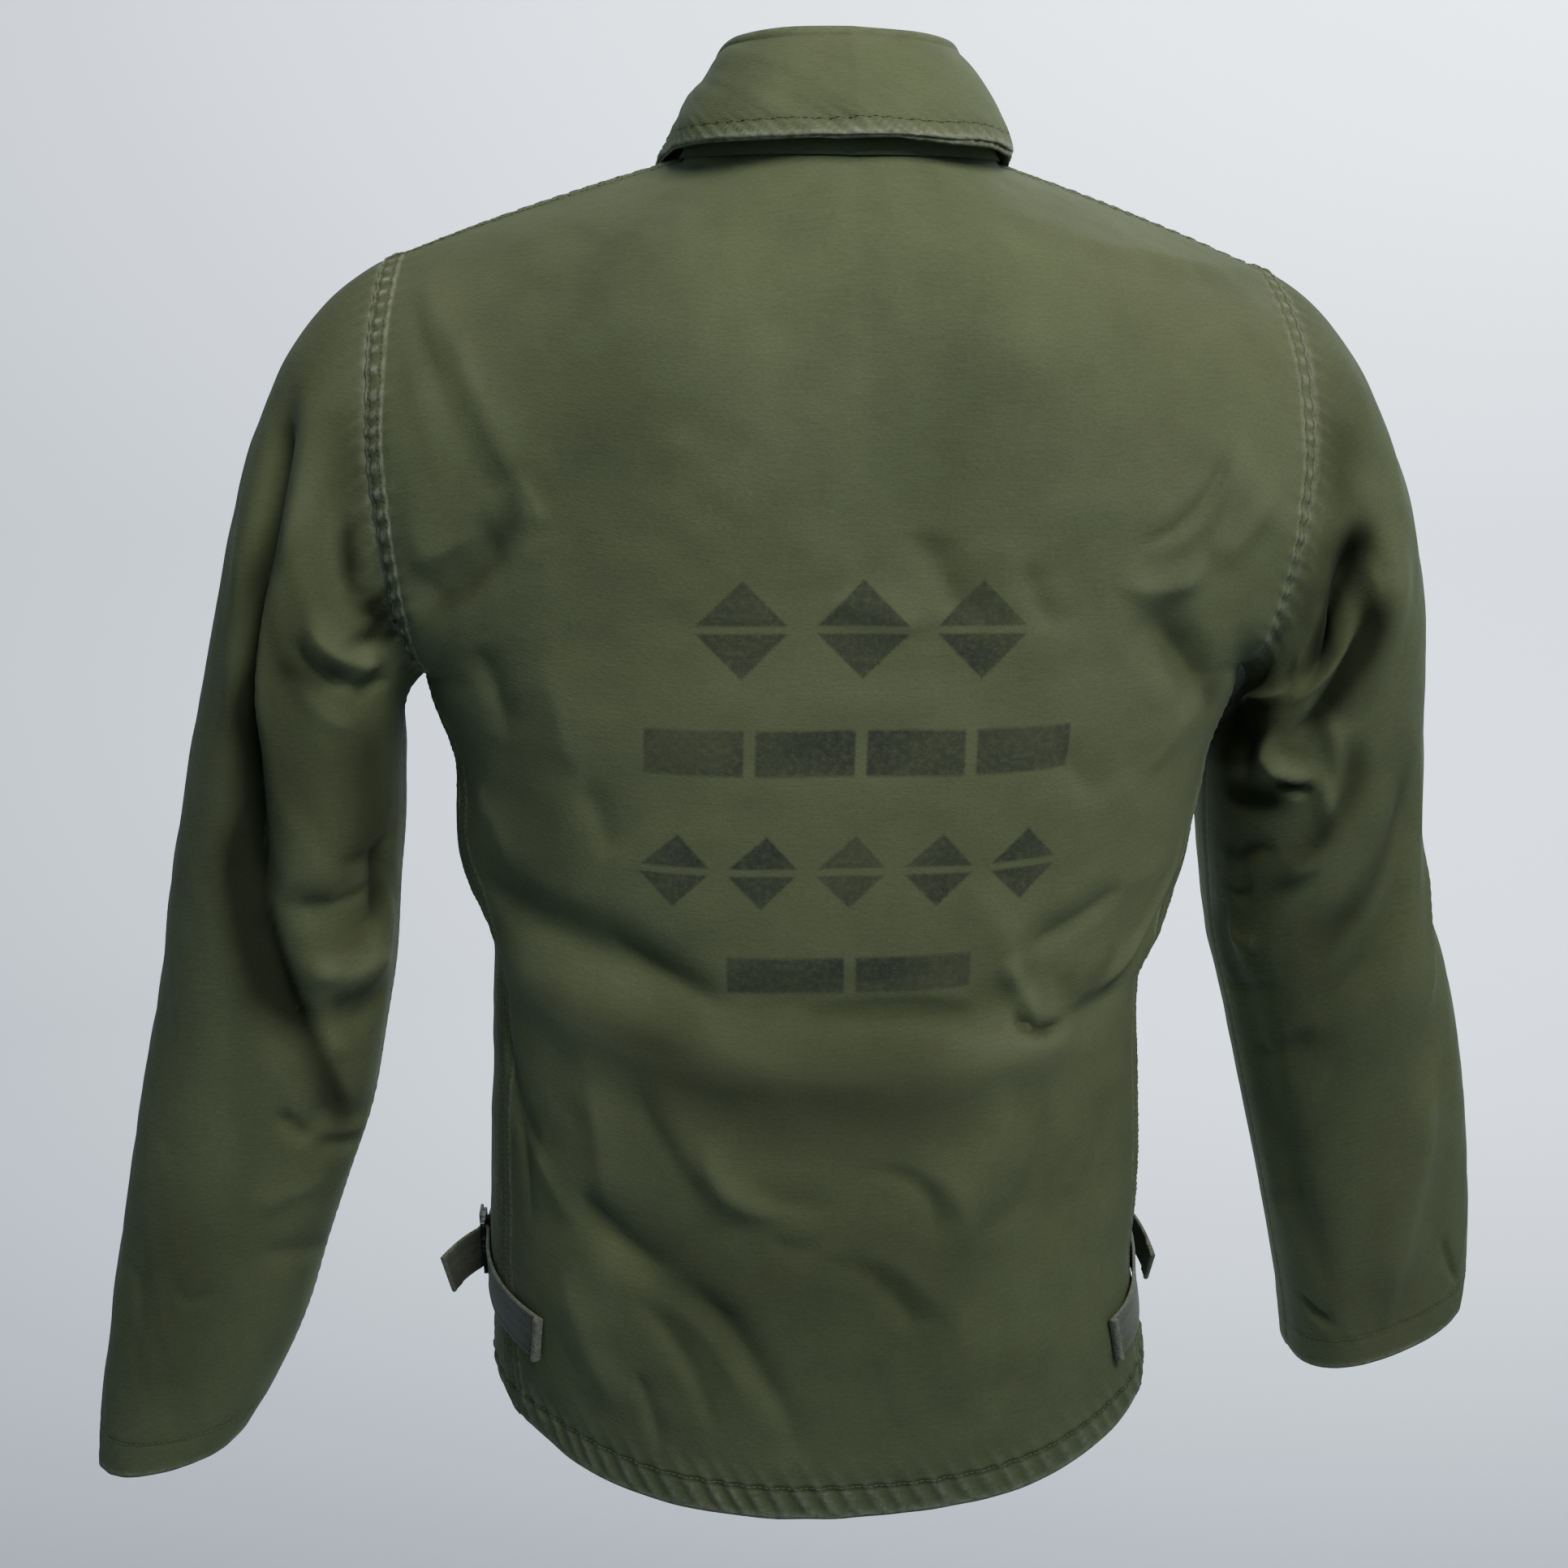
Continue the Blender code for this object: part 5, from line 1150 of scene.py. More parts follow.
def panel_cloth(name, shares, ups, front, side, sizes):
    """Back (shares -1 to 1) or one front (shares 0 to 1 on the given side), fully detailed."""
    share, up = np.meshgrid(shares, ups)
    share = share * side

    def plain(a, b):
        return half_panel(a, np.clip(b, 0.0, 2.0), front)

    normal = outward(plain, share, up, 0.002, 0.002)
    if not front:
        normal = -normal
    point = eased(plain(share, up), share, up)
    z = point[..., 2]
    seam = seam_angle(np.minimum(z, PIT_Z))
    angle = share * seam
    if front:
        angle = np.sign(share + 1e-9 * side) * (180.0 - np.abs(share) * (180.0 - seam))

    across = arc_lengths(point, 1)
    to_side = across[:, -1:] - across
    if not front:
        to_side = np.minimum(to_side, across)
    up_arc = arc_lengths(point, 0)
    to_top = up_arc[-1:] - up_arc
    above = blend(1.0, 1.12, up)
    low = 1.0 - above
    ridge = np.where(np.abs(share) > NECK_SHARE, 1.0, 0.0)
    calm = 1.0 - above * blend(0.90, 1.0, np.abs(share))
    calm = calm * (1.0 - blend(1.80, 2.0, up))
    large = fold_height(BODY_FOLDS, BODY_DEGREE, angle, z)
    fine = fold_height(BODY_CREASES, BODY_DEGREE, angle, z, CREASE_POWER)
    rumple = rumpled(across + side, up_arc, BODY_RUMPLE, int(front))

    arm = above * armhole_relief(to_side, up_arc, sizes)
    side_band, flank, flank_groove = seam_relief(low, to_side, up_arc, SIDE_SEAM)
    top_band, top, top_groove = seam_relief(ridge, to_top, across, TOP_SEAM)
    in_hem = inside(up_arc, HEM_DEPTH, 0.0005)
    rope = ripple(across - 0.6 * up_arc, HEM_PITCH, 29) * HEM_PUCKER
    rope = rope * (in_hem * blend(0.0, 0.005, up_arc)
                   + (1 - in_hem) * 0.40 * bell(np.maximum(up_arc - HEM_DEPTH, 0.0), 0.011))
    hem_groove = bell(up_arc - HEM_STITCH, 0.0011)
    rise = calm * (large + sizes.crease_height * fine + rumple)
    rise = rise + BAND_RISE * above * inside(to_side, BAND_WIDTH) + arm
    rise = rise + LAP_RISE * side_band + flank - LAP_DEPTH * flank_groove
    rise = rise + LAP_RISE * top_band + top - LAP_DEPTH * top_groove
    rise = rise + HEM_RISE * (in_hem - hem_groove) + rope
    if front:
        rise = rise - 0.0004 * grooves(across, FRONT_STITCH)
        rise = rise + 0.0004 * ripple(up_arc, 0.009, 31) * bell(across, 0.012)
    outer = point + normal * rise[..., None]

    shoulder = (up > SEAM_ROW) & (np.abs(share) > NECK_SHARE - 0.001)
    ridge_dir = unit(stack(SHOULDER_SLOPE * np.sign(share), 0.0, 1.0))
    wall = np.where(shoulder[..., None], ridge_dir, normal)
    at_arm = (np.abs(share) > 0.999) & (up >= 1.0)
    arm_dir = armhole_wall(armhole_turn(up - 1, front), 1.0)
    arm_dir[..., 0] *= np.sign(share)
    wall = np.where(at_arm[..., None], arm_dir, wall)
    thick = np.where(up_arc < HEM_DEPTH, HEM_WALL, WALL)

    # Rubbed along edges, bands and the tops of the ripples; less so along the right armhole.
    wear = 0.7 * bell(to_side, 0.0016) * above + 0.6 * bell(to_side - BAND_WIDTH, 0.0012) * above
    wear = wear + 0.35 * bell(to_side - SIDE_SEAM.band, 0.0012) * low
    wear = wear + 0.6 * bell(up_arc, 0.0030) + 0.8 * ridge * bell(to_top, 0.0040)
    crest = held(arm + flank + top + rope) / 0.0005
    rung = above * held(arm) / sizes.pucker_height * bell(to_side - 0.5 * sum(TWIN), 0.0024, 4)
    faint = np.where(share < 0, 0.55, 1.0)
    fainter = above * (1.0 - blend(0.010, 0.013, to_side)) * (1.0 - faint)
    wear = held(held(wear + 0.30 * crest + 1.2 * rung) * (1.0 - fainter))
    # Stitch grooves, which the material paints darker: painted shade in the recesses.
    groove = 0.55 * faint * above * grooves(to_side, *TWIN)
    groove = groove + flank_groove + top_groove + 1.2 * hem_groove
    # Painted shade: dark colour laid in the body's fold hollows and shaded areas, from the table
    # of painted shade.
    shade = fold_height(BODY_PAINTED_SHADE, BODY_DEGREE, angle, z, unit_height=1.0)
    # Painted shade also along the hem's stitch line, and more of it towards the bottom of the
    # body, where less light falls.
    shade = shade + 0.7 * hem_groove + 0.18 * (1.0 - blend(-0.50, -0.36, z))
    marks = {
        "wear": wear,
        "groove": held(groove),
        # Fold height; the material pales the crests (wear, partly painted highlight) and darkens
        # the valleys (painted shade).
        "ridge": np.clip(calm * (large + fine * 1.5) / 0.010, -1.0, 1.0),
        "shade": held(shade),
    }
    u = np.sign(side) * (across + 0.4) if front else across - 0.5 * across[:, -1:]
    return Cloth(name, settled(outer), wall, thick, u, up_arc, marks, to_side=to_side,
                 to_top=to_top, up_arc=up_arc, across=across, above=above)


def build_body(sizes):
    """The back, then both fronts."""

    def columns(count):
        """Columns of a half panel: even, then close together at the seam."""
        return spaced([0.0, 0.90, SIDE_COLUMN], [count, 24])

    def rows(*counts):
        return spaced([0.0, 0.055, 1.0, TOP_ROW], counts)

    half = columns(108)
    shares = np.concatenate([-half[:0:-1], half])
    yield panel_cloth("back_cloth", shares, rows(15, 129, 171), False, 1.0, sizes)
    for side, name in ((1.0, "front_left_cloth"), (-1.0, "front_right_cloth")):
        yield panel_cloth(name, columns(72), rows(12, 96, 132), True, side, sizes)


# ------------------------------------------------------------ sleeve cloth
AROUND = 198             # columns round a sleeve


def sleeve_cloth(name, rings, stand, folds, creases, painted_shades, side, sizes):
    """One sleeve from the armhole seam to the cuff, made as the left one and then mirrored."""
    turns = np.arange(AROUND) * 360.0 / AROUND - 90.0
    reaches = spaced([0.0, 0.16, 1.0, 1.95, 2.0], [24, 84, 150, 9])
    turn, reach = np.meshgrid(turns, reaches)

    def plain(a, b):
        return sleeve_surface(rings, stand, a, np.clip(b, 0.0, 2.0))

    normal = outward(plain, turn, reach, 1.0, 0.004)
    point = plain(turn, reach)
    angle = (turn + 90.0) % 360.0 - 90.0
    down = arc_lengths(point, 0)
    to_cuff = down[-1:] - down
    around = arc_lengths(point, 1)
    wide = around / around[:, -1:] * SLEEVE_GIRTH

    def folded(table, power=2.0, unit_height=MM):
        """A fold may run on past either end of the turn."""
        return sum(fold_height(table, SLEEVE_DEGREE, angle + shift, point[..., 2], power,
                               unit_height) for shift in (0.0, 360.0, -360.0))

    def off_seam(width):
        return blend(0.0, width, wide) * blend(0.0, width, SLEEVE_GIRTH - wide)

    calm = blend(0.0, 0.35, reach)
    large = folded(folds)
    fine = folded(creases, CREASE_POWER)
    rumple = rumpled(wide, down, SLEEVE_RUMPLE) * off_seam(0.03)
    start = arc_lengths(armhole(turns)[None], 1)[0]
    arm_wave = ripple(start[None] + 0.0 * down, sizes.pucker_pitch, 11)
    arm_wave = arm_wave * bell(down, 0.010) * 0.7 * sizes.pucker_height
    arm_wave = arm_wave * blend(0.0, 0.001, down)
    seam_gap = np.minimum(np.abs(angle + 90.0), np.abs(angle - 270.0)) * SLEEVE_DEGREE
    seam = -0.0005 * bell(seam_gap, 0.0009) - 0.0002 * grooves(seam_gap, 0.0065)
    seam = seam + 0.0003 * ripple(down, 0.0070, 47) * bell(seam_gap, 0.010)
    cuff_groove = grooves(to_cuff, CUFF_LINE)
    cuff_rope = 0.00025 * ripple(around + 0.5 * to_cuff, 0.012, 53)
    cuff_rope = cuff_rope * bell(to_cuff - CUFF_LINE, 0.010) * blend(0, 0.004, to_cuff)
    rise = calm * (large + sizes.crease_height * fine + rumple + seam) + arm_wave
    rise = rise - 0.0005 * cuff_groove + cuff_rope * off_seam(0.02)
    outer = point + normal * rise[..., None]
    tuck = 0.0009 * bell(down, 0.0018)[..., None]
    outer = outer - unit(np.gradient(point, axis=0)) * tuck
    wall = np.where((reach < 1e-6)[..., None], armhole_wall(turn, -1.0), normal)
    thick = np.where(to_cuff < CUFF_LINE, CUFF_WALL, WALL)
    flip = np.array([side, 1.0, 1.0])
    wear = 0.75 * bell(to_cuff, 0.0025) + 0.5 * bell(down, 0.002)
    marks = {
        "wear": held(wear + 0.35 * held(arm_wave) / 0.0005),
        # Cuff and seam grooves, which the material paints darker: painted shade in the recesses.
        "groove": held(cuff_groove + 1.2 * bell(seam_gap, 0.0009)),
        # Fold height; the material pales the crests (wear, partly painted highlight) and darkens
        # the valleys (painted shade).
        "ridge": np.clip(calm * (large + fine * 1.5) / 0.010, -1.0, 1.0),
        # Painted shade: dark colour laid in the sleeve's fold hollows and shaded areas.
        "shade": held(folded(painted_shades, unit_height=1.0)),
    }
    return Cloth(name, settled(outer * flip), wall * flip, thick, wide, to_cuff, marks, True,
                 to_cuff=to_cuff)


def build_sleeves(sizes):
    """Left sleeve, then right."""
    yield sleeve_cloth("sleeve_left_cloth", SLEEVE_LEFT, HEAD_LEFT, FOLDS_LEFT, CREASES_LEFT,
                       PAINTED_SHADE_LEFT, 1.0, sizes)
    yield sleeve_cloth("sleeve_right_cloth", SLEEVE_RIGHT, HEAD_RIGHT, FOLDS_RIGHT,
                       CREASES_RIGHT, PAINTED_SHADE_RIGHT, -1.0, sizes)


# ------------------------------------------------------------ collar cloth
def collar_cloth(name, depth, extra, rows, cols):
    """One ply of the collar; `extra` lets the lower edge of the under ply show."""
    turns = np.linspace(-COLLAR_END, COLLAR_END, cols)
    stations = spaced([0.0, STAND_END, FALL_START, 1.0], rows)
    turn, station = np.meshgrid(turns, stations)
    outer = collar_path(turn, depth, station)
    wall = unit(outer - collar_path(turn, depth + PLY, station))
    down = arc_lengths(outer, 0)
    around = arc_lengths(outer, 1)
    to_edge = down[-1:] - down
    to_end = np.minimum(around, around[:, -1:] - around)
    fall = blend(0.62, 0.80, station)
    edge_side = fall * bell(np.maximum(to_edge - COLLAR_STITCH, 0.0), 0.006)
    wave = ripple(around, COLLAR_PITCH, 61) * edge_side * blend(-0.002, 0.002, to_edge)
    groove = fall * grooves(to_edge, COLLAR_STITCH)
    rise = COLLAR_PUCKER * wave - 0.0002 * groove
    rise = rise + 0.0009 * soft_noise(around, down, 0.02, 0.02, 71) * fall
    point = outer + wall * rise[..., None]
    broad = 0.0017 * soft_noise(around, down, 0.040, 0.045, 67) * blend(0.15, 0.45, station)
    broad = broad * (1.0 - 0.6 * blend(0.8, 1.0, station))
    point[..., 2] += broad * blend(0.25, 0.42, station) * (1 - blend(0.7, 0.95, station))
    drape = 0.0007 * soft_noise(around, 0.5 * down, 0.013, 0.030, 79)
    point = point + wall * (drape * blend(0.45, 0.7, station))[..., None]
    point[..., 2] -= COLLAR_TUCK * (1.0 - blend(0.0, 0.08, station))
    lip = extra * blend(0.80, 1.0, station) * blend(-10.0, -45.0, turn)
    point = point + unit(np.gradient(outer, axis=0)) * lip[..., None]
    thick = np.full(turn.shape, PLY)
    wear = 0.7 * bell(to_edge, 0.0022) + 0.5 * bell(to_end, 0.0022)
    wear = wear + 0.5 * held(wave) * blend(0.001, 0.003, COLLAR_STITCH - to_edge)
    marks = {
        "wear": held(wear + 0.30 * bell(station - 0.43, 0.13)),
        # Stitch groove, which the material paints a little darker: painted shade in the recess.
        "groove": held(0.3 * groove),
        "ridge": 0.25 * soft_noise(around, down, 0.03, 0.03, 73),
    }
    return Cloth(name, point, wall, thick, around, down, marks, to_edge=to_edge, station=station)


# ------------------------------------------------------------ thread
def running_length(points):
    step = np.linalg.norm(np.diff(points, axis=0), axis=1)
    return np.concatenate([[0.0], np.cumsum(step)])


def along_path(points, normals, pitch):
    """Evenly spaced stations on a path: positions, directions and normals."""
    length = running_length(points)
    stations = np.arange(0.5 * pitch, length[-1] - 0.5 * pitch, pitch)

    def at(places, values):
        return np.stack([np.interp(places, length, part) for part in values.T], axis=-1)

    place = at(stations, points)
    run = unit(at(stations + 0.3 * pitch, points) - place)
    return place, run, square_to(at(stations, normals), run)


STITCH_ALONG = np.array([-0.5, -0.34, 0.0, 0.34, 0.5])     # rings of one stitch, shares of length
STITCH_LIFT = np.array([-0.9, 0.35, 0.75, 0.35, -0.9])     # and their height, in thread radii
STITCH_SIDES = 6
STITCH_SHARE = 0.82      # thread that shows, as a share of the stitch with its gap


def thread_object(name, paths, sizes, mat):
    """Rows of single stitches, each a short thread that dips into the cloth at both ends."""
    beta = 2 * np.pi * np.arange(STITCH_SIDES) / STITCH_SIDES
    length = STITCH_SHARE * sizes.stitch_length
    radius = sizes.thread_radius
    points = []
    for path, normals in paths:
        if len(path) < 3:
            continue
        at, run, out = along_path(path, normals, sizes.stitch_length)
        across = np.cross(out, run)
        ring = (across[:, None, None] * np.cos(beta)[None, None, :, None]
                + out[:, None, None] * np.sin(beta)[None, None, :, None]) * radius
        spine = (at[:, None] + run[:, None] * (STITCH_ALONG * length)[None, :, None]
                 + out[:, None] * (STITCH_LIFT * radius)[None, :, None])
        points.append((spine[:, :, None] + ring).reshape(-1, 3))
    points = np.concatenate(points)
    rings = len(STITCH_ALONG)
    faces = tube_faces(len(points) // (rings * STITCH_SIDES), rings, STITCH_SIDES)
    return mesh_object(name, points, faces, mat)


# ------------------------------------------------------------ side webbing
def body_normal(angle, z):
    return -outward(level_section, angle, z, 0.5, 0.002)


def on_body(angle, z, lift):
    """Where webbing rests on the body: over the highest cloth below its width, plus `lift`."""
    below = [z + 0.5 * STRAP_WIDTH * k for k in (-1.0, -0.5, 0.0, 0.5, 1.0)]
    height = np.max([fold_height(BODY_FOLDS, BODY_DEGREE, angle, h) for h in below], axis=0)
    return level_section(angle, z) + body_normal(angle, z) * (height + lift)[..., None]


def strap_height(side, angle):
    rise = BODY_DEGREE * STRAPS.at("slope", side)
    return STRAPS.at("z", side) + (angle - STRAPS.at("turn", side)) * rise


def buckle_frame(side):
    """Centre of a buckle, its run towards the front, its width and its outward normal."""
    angle = STRAPS.at("turn", side) + np.array([-1.0, 0.0, 1.0])
    z = strap_height(side, angle)
    centre = on_body(side * angle, z, STRAP_LIFT + STRAP_THICK + STRAP_TURN)
    normal = body_normal(side * angle, z)[1]
    run = square_to(unit(centre[2] - centre[0]), normal)
    return centre[1], run, np.cross(normal, run), normal


def strap_rows(side, ends, hub, axes, tail, lean, droop):
    """Webbing from its sewn end round a buckle bar; arrays of top points, widths and normals."""
    angle = ends[0] + (ends[1] - ends[0]) * spaced([0.0, 0.10, 1.0], [16, 32])
    z = strap_height(side, angle)
    angle = side * angle
    centre = on_body(angle, z, STRAP_LIFT + STRAP_THICK)
    normal = body_normal(angle, z)
    run = square_to(unit(np.gradient(centre, axis=0)), normal)
    rows = list(zip(centre, np.cross(normal, run), normal))
    forward, across, out = axes
    for beta in np.radians(np.linspace(0.0, 180.0, 15)):
        facing = -forward * math.sin(beta) + out * math.cos(beta)
        rows.append((hub - facing * STRAP_TURN, across, facing))
    back = -forward * math.cos(math.radians(lean)) + out * math.sin(math.radians(lean))
    facing = np.cross(back, across)
    last = rows[-1][0]
    low = across * (-1.0 if across[2] > 0 else 1.0)
    for step in np.linspace(0.04, 1.0, 24):
        turn = math.radians(droop) * step
        way = back * math.cos(turn) + low * math.sin(turn)
        wide = across * math.cos(turn) - back * math.sin(turn) * np.dot(low, across)
        rows.append((last + way * tail * step, wide, facing))
    return [np.array(part) for part in zip(*rows)]


# Across half the width of the webbing, middle to edge, and the rise of its selvedge there.
ACROSS = np.array([0.0, 0.5, 0.80, 0.88, 0.95, 0.985, 1.0])
SELVEDGE = [0.0, 0.0, 0.0, 0.00035, 0.0004, 0.0001, -0.0004]
WEFT_RISE = 0.00012      # ribs across the webbing
WEFT_PITCH = 0.0021


def webbing_object(name, rows, sewn, hem, mat):
    """Woven strip with thick selvedges, a sewn bar at its start and a folded free end."""
    centre, width, normal = rows
    length = running_length(centre)
    to_end = length[-1] - length
    side = np.concatenate([-ACROSS[:0:-1], ACROSS])
    half = 0.5 * STRAP_WIDTH
    sewn_rise = 2.0 * sewn * bell(length - 0.0019, 0.0019, 4)
    hem_rise = hem * blend(-0.0002, 0.0010, to_end) * (1 - blend(0.0075, 0.0085, to_end))
    hem_rise = hem_rise + 0.5 * hem * (1 - blend(0.0016, 0.0024, to_end))
    top = sewn_rise + hem_rise + WEFT_RISE * np.sin(2 * np.pi * length / WEFT_PITCH)
    lip = np.interp(np.abs(side), ACROSS, SELVEDGE)
    under = STRAP_THICK - np.interp(np.abs(side), [0.95, 1.0], [0.0, 0.0004])
    flat = centre[:, None] + width[:, None] * (side * half)[None, :, None]
    upper = flat + normal[:, None] * (top[:, None] + lip[None])[..., None]
    lower = flat - normal[:, None] * under[None, :, None]
    across = np.concatenate([side, side[::-1]]) * half
    obj = strip_object(name, upper, lower[:, ::-1], across, length, mat)
    edge = held((np.abs(across)[None] / half - 0.86) * 10) + (to_end < 0.002)[:, None]
    edge = edge + (1.0 - blend(0.0034, 0.0044, length))[:, None]
    add_mark(obj.data, "wear", held(edge))
    return obj


# ------------------------------------------------------------ zip
# Section of a tooth from the tape to the middle of the chain: place across and share of height.
TOOTH = ((-0.0004, 0.62), (0.0006, 0.74), (0.0012, 0.90), (0.0026, 0.90), (0.0030, 0.70))
TOOTH_HEIGHT = 0.0024
TOOTH_LONG = 0.40        # half a tooth along the chain, as a share of the pitch
CHAIN = (0.004, SLIDER_UP - 0.06)  # lower and upper end of the teeth, up the front
TAPE_TOP = 1.99
CORD = 0.00045           # corded edge of the tape


def front_line(up):
    """Point on the middle of the front and its outward normal."""
    point = half_panel(np.zeros_like(up), up, True)
    point[..., 0] -= FRONT_GAP
    run = unit(np.gradient(point, axis=0))
    return point, np.stack([0.0 * up, -run[..., 2], run[..., 1]], axis=-1)


def zip_teeth(name, pitch, sign, mat):
    """One row of moulded teeth: each a rounded block with a nib towards the middle."""
    point, normal = front_line(np.linspace(*CHAIN, 900))
    at, run, out = along_path(point, normal, pitch)
    if sign > 0:
        at = at + run * 0.5 * pitch
    across = unit(np.cross(run, out) * sign)
    across = across * np.sign(sign * across[:, :1])
    centre = at - out * (ZIP_SINK + 0.5 * ZIP_TAPE_THICK)
    points = []
    for x, share in TOOTH:
        high = 0.5 * TOOTH_HEIGHT * share
        long = TOOTH_LONG * pitch * (0.8 if x < 0.0005 else 1.0)
        for a, b in ((-1, -1), (1, -1), (1, 1), (-1, 1)):
            points.append(centre + across * x + run * (a * long) + out * (b * high))
    points = np.stack(points, axis=1)
    faces = tube_faces(len(points), len(TOOTH), 4)
    return mesh_object(name, points.reshape(-1, 3), faces, mat, smooth=False)


def tape_object(name, low, high, mat):
    """Woven zip tape with a corded edge beside the teeth."""
    point, normal = front_line(np.linspace(0.0, TAPE_TOP, 420))
    share = np.linspace(0.0, 1.0, 9)
    toward = share if abs(low) < abs(high) else 1 - share
    cord = CORD * bell(toward, 0.14)
    x = low + (high - low) * share
    top = (point - normal * ZIP_SINK)[:, None] + np.array([1.0, 0, 0]) * x[None, :, None]
    top = top + normal[:, None] * cord[None, :, None]
    bottom = top - normal[:, None] * (ZIP_TAPE_THICK + cord)[None, :, None]
    across = np.concatenate([x, x[::-1]])
    return strip_object(name, top, bottom[:, ::-1], across, running_length(point), mat)


# ------------------------------------------------------------ materials
class Nodes:
    """Short way to write a node material."""

    def __init__(self, name):
        self.material = bpy.data.materials.new(name)
        self.material.use_nodes = True
        self.tree = self.material.node_tree
        self.shader = self.tree.nodes["Principled BSDF"]
        self.solid = self.node("ShaderNodeTexCoord").outputs["Object"]

    def node(self, kind, inputs=(), **settings):
        node = self.tree.nodes.new(kind)
        for key, value in settings.items():
            setattr(node, key, value)
        for key, value in dict(inputs).items():
            self.feed(value, node.inputs[key])
        return node

    def feed(self, value, socket):
        if isinstance(value, bpy.types.NodeSocket):
            self.tree.links.new(value, socket)
        else:
            socket.default_value = value

    def math(self, operation, a, b=0.0, clamp=False):
        node = self.node("ShaderNodeMath", {0: a, 1: b}, operation=operation, use_clamp=clamp)
        return node.outputs[0]

    def add(self, a, b):
        return self.math("ADD", a, b)

    def times(self, a, b, clamp=False):
        return self.math("MULTIPLY", a, b, clamp)

    def away(self, value, centre):
        return self.math("ABSOLUTE", self.math("SUBTRACT", value, centre))

    def span(self, value, low, high, to_low=0.0, to_high=1.0):
        """Value from low..high mapped to to_low..to_high, held at the ends."""
        node = self.node("ShaderNodeMapRange", {
            "Value": value, "From Min": low, "From Max": high,
            "To Min": to_low, "To Max": to_high}, clamp=True)
        return node.outputs["Result"]

    def mix(self, factor, a, b):
        node = self.node("ShaderNodeMix", {0: factor, 6: a, 7: b}, data_type="RGBA")
        return node.outputs[2]

    def noise(self, place, scale, detail=2.0, roughness=0.5):
        node = self.node("ShaderNodeTexNoise", {
            "Vector": place, "Scale": scale, "Detail": detail, "Roughness": roughness})
        return node.outputs[0]

    def mark(self, name):
        return self.node("ShaderNodeAttribute", attribute_name=name).outputs["Fac"]

    def cloth_place(self):
        return self.node("ShaderNodeUVMap", uv_map="cloth").outputs["UV"]

    def stretched(self, place, x, y):
        return self.node("ShaderNodeMapping", {"Vector": place, "Scale": (x, y, 1.0)}).outputs[0]

    def finish(self, colour, sockets, height=None, strength=0.0, distance=0.0):
        """Feeds the shader its colour, its other sockets and a bump; returns the material."""
        for key, value in {"Base Color": colour, **sockets}.items():
            self.feed(value, self.shader.inputs[key])
        if height is not None:
            bump = self.node("ShaderNodeBump", {
                "Strength": strength, "Distance": distance, "Height": height})
            self.feed(bump.outputs["Normal"], self.shader.inputs["Normal"])
        return self.material


def shade(colour, factor=1.0):
    return (colour[0] * factor, colour[1] * factor, colour[2] * factor, 1.0)


def weave_height(n, place, pitch):
    """Over and under of warp and weft."""
    warp, weft = (
        n.node("ShaderNodeTexWave", {"Vector": place, "Scale": 2 * math.pi / (20.0 * pitch),
                                     "Distortion": 0.0}, bands_direction=way).outputs["Fac"]
        for way in "XY")
    return n.add(n.times(warp, 0.45), weft)


def cotton(name, colours, sizes, tone=1.0, design=False):
    """Faded olive cotton: ribbed weave, slubs, mottled dye, worn edges; painted shade in hollows
    and dark stitch grooves, paler fold crests (wear and painted highlight), darker fold valleys
    (painted shade).
    """
    n = Nodes(name)
    place = n.cloth_place()
    plain, worn = colours.cotton, colours.cotton_worn
    cloud = n.noise(n.solid, 9.0, 3.0, 0.55)
    patch = n.noise(n.solid, 34.0, 4.0, 0.6)
    slub = n.noise(n.stretched(place, 85.0, 640.0), 1.0, 3.0, 0.65)
    speck = n.noise(n.stretched(place, 420.0, 950.0), 1.0, 2.0, 0.7)
    warm = n.noise(n.solid, 5.0, 2.0, 0.5)
    ridge = n.mark("ridge")
    tint = n.add(n.times(cloud, 0.55), n.times(patch, 0.45))
    # The tone factor scales the whole colour: painted light and shade, lighter or darker copies of
    # one cotton.
    colour = n.mix(n.span(tint, 0.34, 0.66), shade(plain, 0.86 * tone), shade(plain, 1.14 * tone))
    for value, low, high, to_low, to_high, over, factor in (
        (warm, 0.35, 0.70, 0.0, 0.22, colours.cotton_brown, 1.0),
        (slub, 0.32, 0.68, 0.0, 0.22, worn, 1.0),
        (speck, 0.35, 0.65, 0.28, 0.0, plain, 0.55),
        # On body and sleeves: paler fold crests (wear, partly painted highlight) and darker fold
        # valleys (painted shade).
        (ridge, 0.05, 0.80, 0.0, 0.30, worn, 1.0),
        (ridge, -0.80, -0.05, 0.30, 0.0, plain, 0.55),
    ):
        share = n.span(value, low, high, to_low, to_high)
        colour = n.mix(share, colour, shade(over, factor * tone))
    if design:
        colour = printed(n, place, colour, colours)
    rub = n.times(n.mark("wear"), n.span(n.noise(n.solid, 260.0, 3.0, 0.7), 0.30, 0.62))
    # Painted shade from the shade mark, then pale rubbed wear, then painted shade in the stitch
    # grooves.
    for amount, most, over, factor in (
        (n.mark("shade"), 0.88, plain, 0.14),
        (rub, 0.85, colours.cotton_rubbed, 1.0),
        (n.mark("groove"), 0.55, plain, 0.32),
    ):
        colour = n.mix(n.times(amount, most, True), colour, shade(over, factor * tone))
    height = n.times(weave_height(n, place, sizes.weave), 0.10)
    fuzz = n.noise(n.solid, 110.0, 3.0, 0.6)
    for layer, amount in ((slub, 0.5), (speck, 1.3), (patch, 2.4), (fuzz, 1.6)):
        height = n.add(height, n.times(layer, amount))
    return n.finish(colour, {"Roughness": 0.88, "Specular IOR Level": 0.08, "Sheen Weight": 0.04,
                             "Sheen Roughness": 0.45}, height, 0.5, 0.0003)


